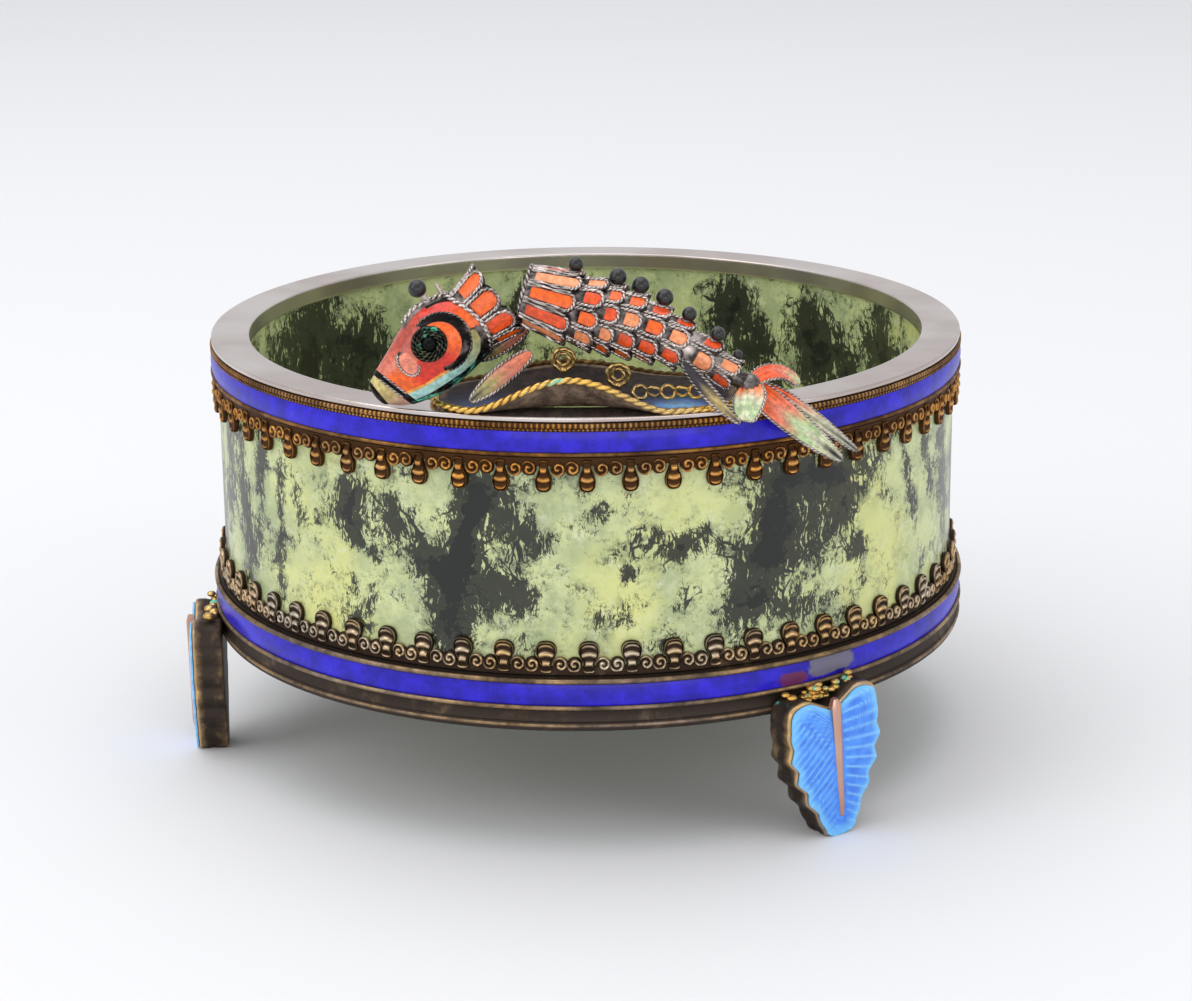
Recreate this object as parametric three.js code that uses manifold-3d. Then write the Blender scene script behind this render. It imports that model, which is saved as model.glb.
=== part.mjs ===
// A round ashtray: a stone bowl bound with enamelled silver-gilt bands, on three leaf feet,
// with a jointed fish on a lotus leaf across the front of its rim.
// Millimetres, +Z up, front towards -Y. Heights are counted from the table.

import * as THREE from 'three';
import { mergeVertices } from 'three/addons/utils/BufferGeometryUtils.js';
import Module from 'manifold-3d';

const wasm = await Module();
wasm.setup();

// Clearances between neighbouring pieces
const fitGap = 0.1;            // between round pieces that share the drum's axis
const seatGap = 0.1;           // under a piece that is set down level
const turnedGap = 0.3;         // round pieces that are turned against their neighbours

// Stone bowl
const stoneDiameter = 93.6;
const stoneHeight = 36.1;
const stoneWall = 3.6;
const stoneFloor = 4;
const floorFillet = 2.5;
const ringFacets = 32;

// Rim plate on the stone, with a lip turned down inside the mouth
const rimThickness = 0.6;
const rimOverhang = 0.7;
const rimLipThickness = 0.4;
const rimLipDepth = 1.5;

// Upper band: a channel that holds a ring of enamel under the rim
const upperSheet = 0.25;
const upperWireProud = 0.55;
const upperTopStrip = 0.9;
const upperEnamelHeight = 2.6;
const upperLowStrip = 0.45;

// Lower band: the same channel over a base moulding, turned in under the stone
const lowerSheet = 0.8;
const lowerWireProud = 0.7;
const lowerTopStrip = 0.7;
const lowerEnamelHeight = 2.75;
const lowerLowStrip = 0.55;
const mouldingNeckHeight = 1.35;
const mouldingNeckProud = 0.2;
const mouldingHeight = 1.2;
const flangeThickness = 0.6;
const flangeWidth = 4;

// Enamel in both bands
const enamelThickness = 0.35;

// Stamped gallery along each band: a tall lobe, then a low pair of volutes, sixty times round
const galleryRepeats = 60;
const galleryThickness = 0.85;
const galleryLobeHeight = 4.05;
const galleryVoluteHeight = 2.15;
const galleryWaistHeight = 1.15;

// Leaf feet
const standClearance = 15.6;   // underside of the drum above the table
const footAzimuths = [34.5, 157.5, -78.6];   // from the front towards +X
const footRolls = [-5, 0, 0];   // the front and left ones are soldered on a little askew
const footYaws = [0, 0, -7];
const footStandOut = 3;      // front face of the leaf plate past the lower band's edge
const footThickness = 3.7;
const footWidth = 14.2;
const footLap = 2.6;           // how far the leaf's shoulders rise above the drum's underside
const footScallops = 5;
const footScallopDepth = 0.32;
const footFlat = 0.25;         // worn off the rounded tip, where the leaf stands
const footRim = 0.35;          // bare metal left round the enamel
const footEnamelThickness = 0.45;
const footRibWidth = 1.5;
const footRibProud = 0.75;
const footRibSpan = [0.12, 0.97];   // its ends, as shares of the leaf's height
const leafTip = 0.3;                // width of the blunt tip, as a share of the leaf's
const leafTipFlat = 0.6;            // and the flat under it, as a share of the tip's
const leafSides = [0.03, 0.88];     // where the scalloped sides start and end, as shares of its height
const leafFullAt = 0.82;            // share of the sides at which the leaf is widest
const leafRoundness = 1.15;         // under 1 the sides bow out low down
const leafTaper = 0.06;             // share by which the sides draw in again towards the shoulders
const leafShoulders = [[0.86, 0.97], [0.55, 1], [0.28, 0.95]];   // shares of half its width and of its height
const leafNotch = 0.9;

// Lotus-leaf pad under the fish
const padLength = 35.6;
const padDepth = 18.6;
const padCentreX = 0.2;
const padForward = 0.4;        // how far its front edge passes the rim's edge
const padThickness = 0.45;
const padCrest = 3.8;          // height of the wavy edge at its crest in front
const padRearCrest = 1.5;      // and behind
const padCrestX = -2.4;
const padWaveLength = 24;
const padSquareness = 2.6;
const padFlatShare = 0.45;     // the middle that stays flat
const padCurl = 1.6;           // how late and steeply the rest turns up
const padRopeDiameter = 0.9;
const padSegments = 22;

// Fish. Its pose is given from the foremost point of the rim's top edge.
const mouthPoint = [-23.6, 4.3, 1.95];
const gillPoint = [-13.4, 6.5, 9.6];
const bodyPath = [
  [-7.1, 6.9, 12.9], [-1.5, 6.3, 11.2], [5.0, 5.6, 9.4], [9.6, 5.0, 7.7], [13.4, 4.5, 5.7], [17.0, 4.0, 3.5],
];
const fishFlatness = 0.8;      // width over height, all along the fish
const headStations = [         // along the head, its half height, and how far its middle is off the axis
  [0, 1.5, 0], [1.5, 2.6, -0.35], [4, 3.57, -0.4], [6.5, 4.3, -0.15], [9.3, 4.87, 0.2],
];
const gillRadius = 4.2;
const gillBulge = 1.4;         // how far the gill edge reaches back at the cheeks
const headWall = 0.45;
const headHollow = 6.3;        // depth of the head's open back
const headHollowEnd = 0.72;    // its width at the bottom over its width at the gills
const collarWall = 0.35;
const collarLength = 4.7;      // from the gill edge to the tips of the collar's lappets
const collarTipRadius = 4.75;
const collarLappets = 9;
const lappetDepth = 2.7;
const eyeRadius = 2;
const eyeProud = 1.1;
const eyePlace = [8.7, 21];    // along the head, and degrees up from its side
const eyeProfile = [[0, 0], [1, 0], [0.92, 0.4], [0.55, 0.85], [0, 1]];   // shares of its radius and height
const browBead = [10.9, 1.05, 1.05];   // along the head, radius, and length of its stalk
const browStalkShare = 0.4;    // stalk's radius over the bead's
const crownShare = 0.97;       // the head's faceted top lies this much lower than its round one
const sleeveLengths = [6.3, 3.1, 2.2, 2.6, 2.8, 2.9, 3.7, 2.9];
const sleeveRadii = [4.3, 4.3, 4.2, 3.9, 3.4, 2.9, 2.4, 1.9];
const sleeveFrontRadius = 3.2;
const sleeveWall = 0.35;
const sleeveOverlap = 1.3;
const scaleWidth = 2.5;
const scaleDepth = 0.9;
// Beads on the back: the radius on each sleeve, where the second has lost its own, and as shares of that
// radius its way in from the scalloped edge, the height of its middle, and its stalk's radius.
const backBeads = [0.85, 0, 1, 1, 1, 0.85, 0.85, 0.55];
const backBeadInset = 0.6;
const backBeadHeight = 1.1;
const backStalkShare = 0.5;

// Fish's fins, tail and fixings, from the same point as its pose
const finThickness = 0.55;
const finBow = [-0.5, -0.4, -0.3];     // how far its middle is off the straight line from root to tip
const finFacing = [-0.2, -1, 0.3];
const bladeEndShare = 0.25;    // least width of a fin or lobe over its widest
const bladeSwell = [0.12, 0.8];        // where its width starts and how far it runs along half a sine wave
const fins = {                 // root, tip and width; the left side faces the front
  fish_pectoral_left: [[-6.2, 3.0, 6.9], [-13.0, 0.7, 1.9], 1.9],
  fish_pectoral_right: [[-6.6, 9.6, 8.4], [-12.2, 9.2, 4.6], 1.9],
  fish_pelvic_left: [[11.0, 2.0, 5.9], [17.3, -0.2, -0.8], 1.3],
  fish_pelvic_right: [[11.0, 8.0, 5.9], [15.6, 10.2, 3.4], 1.3],
};
const tailThickness = 0.7;
const tailRoot = [18.6, 3.85, 2.7];
const tailRootRadius = 1.2;
const tailNeckShare = 0.6;     // radius of the neck before its root over the root's
const tailLobes = [            // a point it bends towards, its tip, its widest width, and the way it faces
  [[22.6, 3.2, -0.9], [29.1, 2.7, -6.1], 2.7, [-0.25, -0.75, 0.6]],
  [[23.2, 4.8, 1.0], [31.1, 4.7, -5.7], 1.5, [0.2, 0.9, 0.4]],
  [[18.9, 1.5, 1.8], [17.6, -0.4, -0.5], 3.2, [-0.2, -0.9, 0.4]],
  [[21.6, 6.4, 5.0], [24.4, 7.0, 1.9], 2.4, [0.2, 0.5, 0.85]],
];
const ringWire = 0.5;
const ringDiameter = 2.6;
const fixingPlaces = [[-2.6, 5.4], [3.6, 4.8]];
const chainStart = [0.3, -0.54];       // its ends, as shares of half the pad's length and depth
const chainEnd = [0.72, -0.62];
const chainLinks = 4;
const chainWire = 0.44;
const chainTilt = 0.6;         // each link leans this way or that, in radians

// Radii and heights that follow from the sizes above
const stoneRadius = stoneDiameter / 2;
const mouthRadius = stoneRadius - stoneWall;
const stoneBottom = standClearance + flangeThickness + seatGap;
const stoneTop = stoneBottom + stoneHeight;
const rimUnderside = stoneTop + seatGap;
const rimTop = rimUnderside + rimThickness;
const rimRadius = stoneRadius + rimOverhang;
const bandInside = stoneRadius + fitGap;

const finishes = {
  stone: new THREE.MeshStandardMaterial({ color: 0xb4c286, roughness: 0.35, metalness: 0 }),
  silver: new THREE.MeshStandardMaterial({ color: 0xa89d96, roughness: 0.35, metalness: 0.9 }),
  gilt: new THREE.MeshStandardMaterial({ color: 0x7d6148, roughness: 0.45, metalness: 0.85 }),
  darkSilver: new THREE.MeshStandardMaterial({ color: 0x5d544f, roughness: 0.4, metalness: 0.85 }),
  brightGilt: new THREE.MeshStandardMaterial({ color: 0xb98a3c, roughness: 0.35, metalness: 0.9 }),
  royalEnamel: new THREE.MeshStandardMaterial({ color: 0x2f22cf, roughness: 0.2, metalness: 0 }),
  skyEnamel: new THREE.MeshStandardMaterial({ color: 0x4aa0ea, roughness: 0.25, metalness: 0 }),
  coralEnamel: new THREE.MeshStandardMaterial({ color: 0xd9622f, roughness: 0.25, metalness: 0 }),
  rib: new THREE.MeshStandardMaterial({ color: 0xc09a84, roughness: 0.4, metalness: 0.5 }),
};

// Geometry with only positions, equal corners shared, and its faces turned outwards.
function welded(geometry) {
  const bare = geometry.clone();
  bare.deleteAttribute('normal');
  bare.deleteAttribute('uv');
  const merged = mergeVertices(bare);
  const place = merged.getAttribute('position');
  const faces = Array.from(merged.index.array);
  const corner = (i) => new THREE.Vector3().fromBufferAttribute(place, i);
  let volume = 0;
  for (let i = 0; i < faces.length; i += 3) {
    const [a, b, c] = [corner(faces[i]), corner(faces[i + 1]), corner(faces[i + 2])];
    volume += a.dot(b.cross(c));
  }
  if (volume < 0) faces.reverse();
  merged.setIndex(faces);
  return merged;
}

function fromFaces(points, faces) {
  const geometry = new THREE.BufferGeometry().setFromPoints(points);
  geometry.setIndex(faces);
  return welded(geometry);
}

function toManifold(geometry) {
  const solid = welded(geometry);
  const mesh = new wasm.Mesh({
    numProp: 3,
    vertProperties: new Float32Array(solid.getAttribute('position').array),
    triVerts: new Uint32Array(solid.index.array),
  });
  return new wasm.Manifold(mesh);
}

function fromManifold(solid) {
  const { vertProperties, triVerts } = solid.getMesh();
  const geometry = new THREE.BufferGeometry();
  geometry.setAttribute('position', new THREE.BufferAttribute(vertProperties, 3));
  geometry.setIndex(new THREE.BufferAttribute(triVerts, 1));
  return geometry;
}

function fused(geometries) {
  return fromManifold(geometries.map(toManifold).reduce((whole, next) => whole.add(next)));
}

// Solid of revolution about the drum's axis, from a profile of [radius, height] points.
function turned(profile) {
  const closes = profile[0][0] > 0;
  const points = (closes ? [...profile, profile[0]] : profile).map(([r, z]) => new THREE.Vector2(r, z));
  return welded(new THREE.LatheGeometry(points, ringFacets).rotateX(Math.PI / 2));
}

// A closed loop of points, with the share of a full turn at which each one stands.
function loop(turns, place) {
  return { turns, points: turns.map(place) };
}

// Solid between closed loops, each joined to the next. An endless row also joins its last loop
// to its first; any other row is closed by a flat face on its first and last loop.
function lofted(loops, endless = false) {
  const points = loops.flatMap((each) => each.points);
  const faces = [];
  const firsts = loops.map((_, i) => loops.slice(0, i).reduce((sum, each) => sum + each.points.length, 0));
  const joins = endless ? loops.length : loops.length - 1;
  for (let k = 0; k < joins; k += 1) {
    const other = (k + 1) % loops.length;
    const [a, b] = [loops[k].turns, loops[other].turns];
    let [i, j] = [0, 0];
    while (i < a.length || j < b.length) {
      const nextA = i < a.length ? a[i + 1] ?? 1 + a[0] : Infinity;
      const nextB = j < b.length ? b[j + 1] ?? 1 + b[0] : Infinity;
      const here = firsts[k] + (i % a.length);
      const there = firsts[other] + (j % b.length);
      if (nextA <= nextB) {
        i += 1;
        faces.push(here, firsts[k] + (i % a.length), there);
      } else {
        j += 1;
        faces.push(here, firsts[other] + (j % b.length), there);
      }
    }
  }
  if (!endless) {
    const last = firsts.at(-1);
    for (let i = 1; i + 1 < loops[0].points.length; i += 1) faces.push(0, i + 1, i);
    for (let i = 1; i + 1 < loops.at(-1).points.length; i += 1) faces.push(last, last + i, last + i + 1);
  }
  return fromFaces(points, faces);
}

function evenTurns(count) {
  return Array.from({ length: count }, (_, i) => i / count);
}

function toVector(place) {
  return new THREE.Vector3(...place);
}

// Axes of a piece that runs from one point to another, with its back kept uppermost.
function frameBetween(from, to) {
  const along = to.clone().sub(from).normalize();
  const side = new THREE.Vector3(0, 0, 1).cross(along).normalize();
  const up = along.clone().cross(side);
  return { origin: from, along, side, up };
}

function inFrame(frame, along, sideways, upwards) {
  return frame.origin.clone()
    .addScaledVector(frame.along, along)
    .addScaledVector(frame.side, sideways)
    .addScaledVector(frame.up, upwards);
}

// Point on an oval across a frame
function ovalPoint(frame, turn, radius, reach, rise = 0) {
  const angle = 2 * Math.PI * turn;
  return inFrame(frame, reach, radius * fishFlatness * Math.cos(angle), rise + radius * Math.sin(angle));
}

// Oval loop across a frame. The reach of each point along the frame is a function of its turn.
function ovalLoop(frame, turns, radius, reach, rise) {
  return loop(turns, (turn) => ovalPoint(frame, turn, radius, reach(turn), rise));
}

function sphereAt(centre, radius, around = 6, rows = 4) {
  return new THREE.SphereGeometry(radius, around, rows).rotateX(Math.PI / 2).translate(...centre.toArray());
}

function rod(from, to, radius, sides = 6) {
  const path = new THREE.LineCurve3(from, to);
  const section = new THREE.Shape(
    evenTurns(sides).map((turn) => new THREE.Vector2(
      radius * Math.cos(2 * Math.PI * turn), radius * Math.sin(2 * Math.PI * turn),
    )),
  );
  return new THREE.ExtrudeGeometry(section, { steps: 1, extrudePath: path, curveSegments: 1 });
}

// Thin blade along a curved path: a ridge down its middle and thin edges, pointed at both ends.
function blade(path, width, thickness, facing, sections = 5) {
  const curve = new THREE.QuadraticBezierCurve3(...path);
  const loops = Array.from({ length: sections + 1 }, (_, i) => {
    const t = i / sections;
    const centre = curve.getPoint(t);
    const across = curve.getTangent(t).cross(facing).normalize();
    const out = across.clone().cross(curve.getTangent(t)).normalize();
    const half = width / 2 * Math.max(bladeEndShare, Math.sin(Math.PI * (bladeSwell[0] + bladeSwell[1] * t)));
    const deep = thickness / 2;
    const corners = [[half, 0], [0, deep], [-half, 0], [0, -deep]];
    return loop(evenTurns(4), (turn) => {
      const [sideways, outwards] = corners[Math.round(turn * 4)];
      return centre.clone().addScaledVector(across, sideways).addScaledVector(out, outwards);
    });
  });
  return lofted(loops);
}

function stoneBowl() {
  const floor = stoneBottom + stoneFloor;
  return turned([
    [0, stoneBottom],
    [stoneRadius, stoneBottom],
    [stoneRadius, stoneTop],
    [mouthRadius, stoneTop],
    [mouthRadius, floor + floorFillet],
    [mouthRadius - floorFillet, floor],
    [0, floor],
  ]);
}

function rimPlate() {
  const lipOutside = mouthRadius - fitGap;
  const lipInside = lipOutside - rimLipThickness;
  return turned([
    [lipInside, rimTop],
    [rimRadius, rimTop],
    [rimRadius, rimUnderside],
    [lipOutside, rimUnderside],
    [lipOutside, rimUnderside - rimLipDepth],
    [lipInside, rimUnderside - rimLipDepth],
  ]);
}

// Upper band, from the rim plate down
const upperTop = rimUnderside - seatGap;
const upperEnamelTop = upperTop - upperTopStrip;
const upperEnamelBottom = upperEnamelTop - upperEnamelHeight;
const upperBottom = upperEnamelBottom - upperLowStrip;

function upperBand() {
  const wall = bandInside + upperSheet;
  const proud = wall + upperWireProud;
  return turned([
    [bandInside, upperTop],
    [proud, upperTop],
    [proud, upperEnamelTop],
    [wall, upperEnamelTop],
    [wall, upperEnamelBottom],
    [proud, upperEnamelBottom],
    [proud, upperBottom],
    [bandInside, upperBottom],
  ]);
}

// Lower band, from the underside of the drum up
const lowerBottom = standClearance;
const mouldingTop = lowerBottom + mouldingHeight;
const neckTop = mouldingTop + mouldingNeckHeight;
const lowerEnamelBottom = neckTop + lowerLowStrip;
const lowerEnamelTop = lowerEnamelBottom + lowerEnamelHeight;
const lowerTop = lowerEnamelTop + lowerTopStrip;
const lowerRadius = bandInside + lowerSheet + lowerWireProud;
const footReach = lowerRadius + footStandOut;

function lowerBand() {
  const wall = bandInside + lowerSheet;
  const neck = wall + mouldingNeckProud;
  const flangeInside = bandInside - flangeWidth;
  return turned([
    [bandInside, lowerTop],
    [lowerRadius, lowerTop],
    [lowerRadius, lowerEnamelTop],
    [wall, lowerEnamelTop],
    [wall, lowerEnamelBottom],
    [lowerRadius, lowerEnamelBottom],
    [lowerRadius, neckTop],
    [neck, neckTop],
    [neck, mouldingTop],
    [wall, lowerBottom],
    [flangeInside, lowerBottom],
    [flangeInside, lowerBottom + flangeThickness],
    [bandInside, lowerBottom + flangeThickness],
  ]);
}

function enamelRing(wall, bottom, top) {
  const inside = wall + fitGap;
  const outside = inside + enamelThickness;
  return turned([
    [inside, bottom + fitGap],
    [outside, bottom + fitGap],
    [outside, top - fitGap],
    [inside, top - fitGap],
  ]);
}

// Gallery round the stone, from a straight edge towards the lobes' tips. The outline of one
// repeat is [share of the pitch, height]; its ends are the feet of a shared upright edge.
function gallery(base, direction) {
  const outline = [
    [0.00, galleryVoluteHeight], [0.34, galleryWaistHeight], [0.33, galleryLobeHeight],
    [0.67, galleryLobeHeight], [0.66, galleryWaistHeight], [1.00, galleryVoluteHeight],
  ];
  const pitch = 2 * Math.PI / galleryRepeats;
  const inside = (stoneRadius + fitGap) / Math.cos(pitch / 2);
  const outside = inside + galleryThickness;
  const corners = [[0, 0], [1, 0], ...outline.toReversed()];
  const cells = THREE.ShapeUtils.triangulateShape(corners.map(([u, h]) => new THREE.Vector2(u, h)), []);
  const points = [];
  const faces = [];
  for (let k = 0; k < galleryRepeats; k += 1) {
    const first = points.length;
    const count = corners.length;
    for (const radius of [inside, outside]) {
      for (const [u, h] of corners) {
        const angle = (k + u) * pitch;
        points.push(new THREE.Vector3(
          radius * Math.cos(angle), radius * Math.sin(angle), base + direction * h,
        ));
      }
    }
    for (const [a, b, c] of cells) {
      faces.push(first + a, first + c, first + b);
      faces.push(first + count + a, first + count + b, first + count + c);
    }
    // The edges that are open: along the base, and over the outline. Both ends join a neighbour.
    for (let i = 0; i < count; i += 1) {
      if (i === 1 || i === count - 1) continue;
      const [a, b] = [first + i, first + (i + 1) % count];
      faces.push(a, b, b + count, a, b + count, a + count);
    }
  }
  return fromFaces(points, faces);
}

// Leaf outline in its own plane: [across, up from the tip], with scalloped sides, two shoulders
// and a notch between them. The margin draws it in on all sides.
const footHeight = standClearance + footLap + footFlat;

function leafOutline(margin) {
  const half = footWidth / 2 - margin;
  const tall = footHeight - 2 * margin;
  const [sideStart, sideEnd] = leafSides;
  const side = [];
  const steps = footScallops * 2;
  for (let i = 0; i <= steps; i += 1) {
    const t = i / steps;
    const swell = Math.sin(Math.PI / 2 * Math.min(1, t / leafFullAt) ** leafRoundness);
    const bulge = half * THREE.MathUtils.lerp(leafTip, 1, swell);
    const scallop = i % 2 === 0 ? -footScallopDepth : footScallopDepth;
    side.push([
      bulge * (1 - leafTaper * t) + scallop * Math.sin(Math.PI * t),
      margin + tall * THREE.MathUtils.lerp(sideStart, sideEnd, t),
    ]);
  }
  const shoulder = leafShoulders.map(([across, up]) => [half * across, margin + tall * up]);
  const right = [[half * leafTip * leafTipFlat, margin], ...side, ...shoulder];
  const left = right.map(([x, y]) => [-x, y]).toReversed();
  return [...right, [0, margin + tall * leafNotch], ...left];
}

function leafSlab(margin, back, front) {
  const outline = new THREE.Shape(leafOutline(margin).map(([x, y]) => new THREE.Vector2(x, y)));
  const slab = new THREE.ExtrudeGeometry(outline, { depth: front - back, bevelEnabled: false });
  // Stands the leaf up: across to X, up to Z, and its front towards -Y.
  return slab.rotateX(Math.PI / 2).translate(0, -back, -footFlat);
}

// Turns a foot's piece askew round the middle of the leaf plate.
function askew(geometry, [roll, yaw]) {
  const [middle, out] = [footHeight / 2, footReach - footThickness / 2];
  return geometry.clone()
    .translate(0, out, -middle)
    .rotateY(THREE.MathUtils.degToRad(roll))
    .rotateZ(THREE.MathUtils.degToRad(yaw))
    .translate(0, -out, middle);
}

// The drum as a foot meets it, larger by the gap, turned back to face that foot.
function drumSeat(azimuth) {
  const radius = (lowerRadius + turnedGap) / Math.cos(Math.PI / ringFacets);
  const bottom = lowerBottom - turnedGap;
  const outline = [[0, bottom], [radius, bottom], [radius, rimTop], [0, rimTop]];
  return turned(outline).rotateZ(-THREE.MathUtils.degToRad(azimuth));
}

function aboveTable() {
  const size = 4 * footWidth;
  return new THREE.BoxGeometry(size, 4 * footReach, size).translate(0, 0, size / 2);
}

function footPlate(azimuth, lean) {
  const slab = askew(leafSlab(0, footReach - footThickness, footReach), lean);
  const seated = toManifold(slab).subtract(toManifold(drumSeat(azimuth)));
  return fromManifold(seated.intersect(toManifold(aboveTable())));
}

function footEnamel(lean) {
  const back = footReach + turnedGap / 2;
  const slab = askew(leafSlab(footRim, back, back + footEnamelThickness), lean);
  const slot = askew(footRib(fitGap, back + 2 * footRibProud), lean);
  return fromManifold(toManifold(slab).subtract(toManifold(slot)));
}

// Raised midrib: a bar that tapers down the leaf. The margin makes it larger all round.
function footRib(margin, front) {
  const top = footHeight * footRibSpan[1] - footFlat;
  const shoulder = top - footRibWidth;
  const bottom = footHeight * footRibSpan[0];
  const back = footReach + turnedGap / 2 - margin;
  const wide = footRibWidth / 2 + margin;
  const narrow = footRibWidth / 4 + margin;
  const outline = [
    [-narrow, bottom - margin], [narrow, bottom - margin],
    [wide, shoulder], [0, top + 2 * margin], [-wide, shoulder],
  ];
  const bar = new THREE.ExtrudeGeometry(
    new THREE.Shape(outline.map(([x, y]) => new THREE.Vector2(x, y))),
    { depth: front - back, bevelEnabled: false },
  );
  return bar.rotateX(Math.PI / 2).translate(0, -back, 0);
}

// Pad: an oval dish whose wavy edge lies on the rim in its troughs and stands up at its crests.
const padCentre = new THREE.Vector3(padCentreX, padDepth / 2 - padForward, 0);

function padEdge(turn) {
  const angle = 2 * Math.PI * turn;
  const [c, s] = [Math.cos(angle), Math.sin(angle)];
  const size = (Math.abs(c) ** padSquareness + Math.abs(s) ** padSquareness) ** (-1 / padSquareness);
  const x = size * c * padLength / 2;
  const fromCrest = Math.abs(x + padCentreX - padCrestX);
  const wave = Math.cos(2 * Math.PI * Math.min(0.5, fromCrest / padWaveLength));
  const crest = THREE.MathUtils.lerp(padCrest, padRearCrest, (1 + s) / 2);
  return new THREE.Vector3(x, size * s * padDepth / 2, crest * (1 + wave) / 2);
}

// How high the dish lies at a share of the way from its centre to its edge
function padRise(edge, share) {
  return edge.z * Math.max(0, (share - padFlatShare) / (1 - padFlatShare)) ** padCurl;
}

function padLoop(share, height) {
  return loop(evenTurns(padSegments), (turn) => {
    const edge = padEdge(turn);
    return new THREE.Vector3(edge.x * share, edge.y * share, height + padRise(edge, share)).add(padCentre);
  });
}

function pad() {
  const inset = 1 - padRopeDiameter / padDepth;
  const shares = [padFlatShare, (padFlatShare + inset) / 2, inset];
  const under = shares.map((share) => padLoop(share, seatGap));
  const over = shares.toReversed().map((share) => padLoop(share, seatGap + padThickness));
  return lofted([...under, ...over]);
}

function padRope() {
  const sides = 5;
  const radius = padRopeDiameter / 2;
  const centres = evenTurns(padSegments).map((turn) => padEdge(turn).add(padCentre));
  const loops = centres.map((centre, i) => {
    const next = centres[(i + 1) % padSegments];
    const before = centres[(i + padSegments - 1) % padSegments];
    const along = next.clone().sub(before).normalize();
    const out = along.clone().cross(new THREE.Vector3(0, 0, 1)).normalize();
    const up = out.clone().cross(along);
    return loop(evenTurns(sides), (turn) => {
      const angle = 2 * Math.PI * turn;
      return centre.clone()
        .addScaledVector(out, radius * Math.cos(angle) + fitGap)
        .addScaledVector(up, radius * Math.sin(angle))
        .add(new THREE.Vector3(0, 0, seatGap + radius));
    });
  });
  return lofted(loops, true);
}

// Fish head: a blunt hollow cone, open at the gills
const mouth = toVector(mouthPoint);
const gills = toVector(gillPoint);
const headFrame = frameBetween(mouth, gills);
const headLength = mouth.distanceTo(gills);
const headTurns = evenTurns(12);

function gillReach(turn) {
  return headLength + gillBulge * Math.cos(2 * Math.PI * turn) ** 2;
}

function fishHead() {
  const outside = headStations.map(([along, radius, rise]) => (
    ovalLoop(headFrame, headTurns, radius, () => along, rise)
  ));
  const edge = ovalLoop(headFrame, headTurns, gillRadius, gillReach);
  const inner = gillRadius - headWall;
  const inside = [
    ovalLoop(headFrame, headTurns, inner, gillReach),
    ovalLoop(headFrame, headTurns, inner, () => headLength - headHollow * 0.5),
    ovalLoop(headFrame, headTurns, inner * headHollowEnd, () => headLength - headHollow),
  ];
  const [along, radius, stalk] = browBead;
  const surface = headStations.at(-1)[1] * crownShare;
  const foot = inFrame(headFrame, along, 0, surface - headWall / 2);
  const bead = inFrame(headFrame, along, 0, surface + stalk + radius);
  return fused([
    lofted([...outside, edge, ...inside]),
    rod(foot, bead, radius * browStalkShare),
    sphereAt(bead, radius, 8, 5),
  ]);
}

// Sleeve or collar whose rear edge is cut into round tongues
function tongued(frame, radii, stations, count, depth, wall, phase) {
  const valleys = evenTurns(count).map((turn) => turn + phase / count);
  const rear = valleys.flatMap((turn) => [turn, turn + 0.25 / count, turn + 0.75 / count]);
  const isTip = (turn) => Math.abs(((turn * count - phase) % 1 + 1.5) % 1 - 0.5) > 0.1;
  const last = stations.length - 1;
  const taper = (radii[last] - radii[last - 1]) / (stations[last] - stations[last - 1]);
  const ring = (i, shrink) => loop(i === last ? rear : valleys, (turn) => {
    const drawnBack = i === last && !isTip(turn) ? depth : 0;
    return ovalPoint(frame, turn, radii[i] - drawnBack * taper - shrink, stations[i] - drawnBack);
  });
  const outside = stations.map((_, i) => ring(i, 0));
  const inside = stations.map((_, i) => ring(i, wall)).toReversed();
  return lofted([...outside, ...inside], true);
}

function fishCollar() {
  const front = (gillRadius - headWall) * Math.cos(Math.PI / headTurns.length) - turnedGap;
  const stations = [
    headLength - headHollow * 0.25,
    headLength + gillBulge,
    headLength + collarLength,
  ];
  const radii = [front, front, collarTipRadius];
  return tongued(headFrame, radii, stations, collarLappets, lappetDepth, collarWall, 0.5);
}

function fishEye(sign) {
  const [along, degrees] = eyePlace;
  const angle = THREE.MathUtils.degToRad(degrees);
  const radius = headStations.at(-1)[1];
  const outward = headFrame.side.clone().multiplyScalar(sign * Math.cos(angle))
    .addScaledVector(headFrame.up, Math.sin(angle) * fishFlatness)
    .normalize();
  const place = inFrame(
    headFrame, along, sign * radius * fishFlatness * Math.cos(angle), radius * Math.sin(angle),
  );
  const points = eyeProfile.map(([r, h]) => new THREE.Vector2(r * eyeRadius, h * eyeProud));
  const dome = new THREE.LatheGeometry(points, 10);
  const turn = new THREE.Quaternion().setFromUnitVectors(new THREE.Vector3(0, 1, 0), outward);
  return welded(dome.applyQuaternion(turn).translate(...place.addScaledVector(outward, turnedGap).toArray()));
}

// Fish body: nested sleeves along a curved back
const bodyCurve = new THREE.CatmullRomCurve3(bodyPath.map(toVector));

function sleeveFrame(index) {
  const whole = sleeveLengths.reduce((sum, length) => sum + length, 0);
  const before = sleeveLengths.slice(0, index).reduce((sum, length) => sum + length, 0);
  const from = bodyCurve.getPointAt(before / whole);
  const to = bodyCurve.getPointAt((before + sleeveLengths[index]) / whole);
  return frameBetween(from, to);
}

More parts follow.
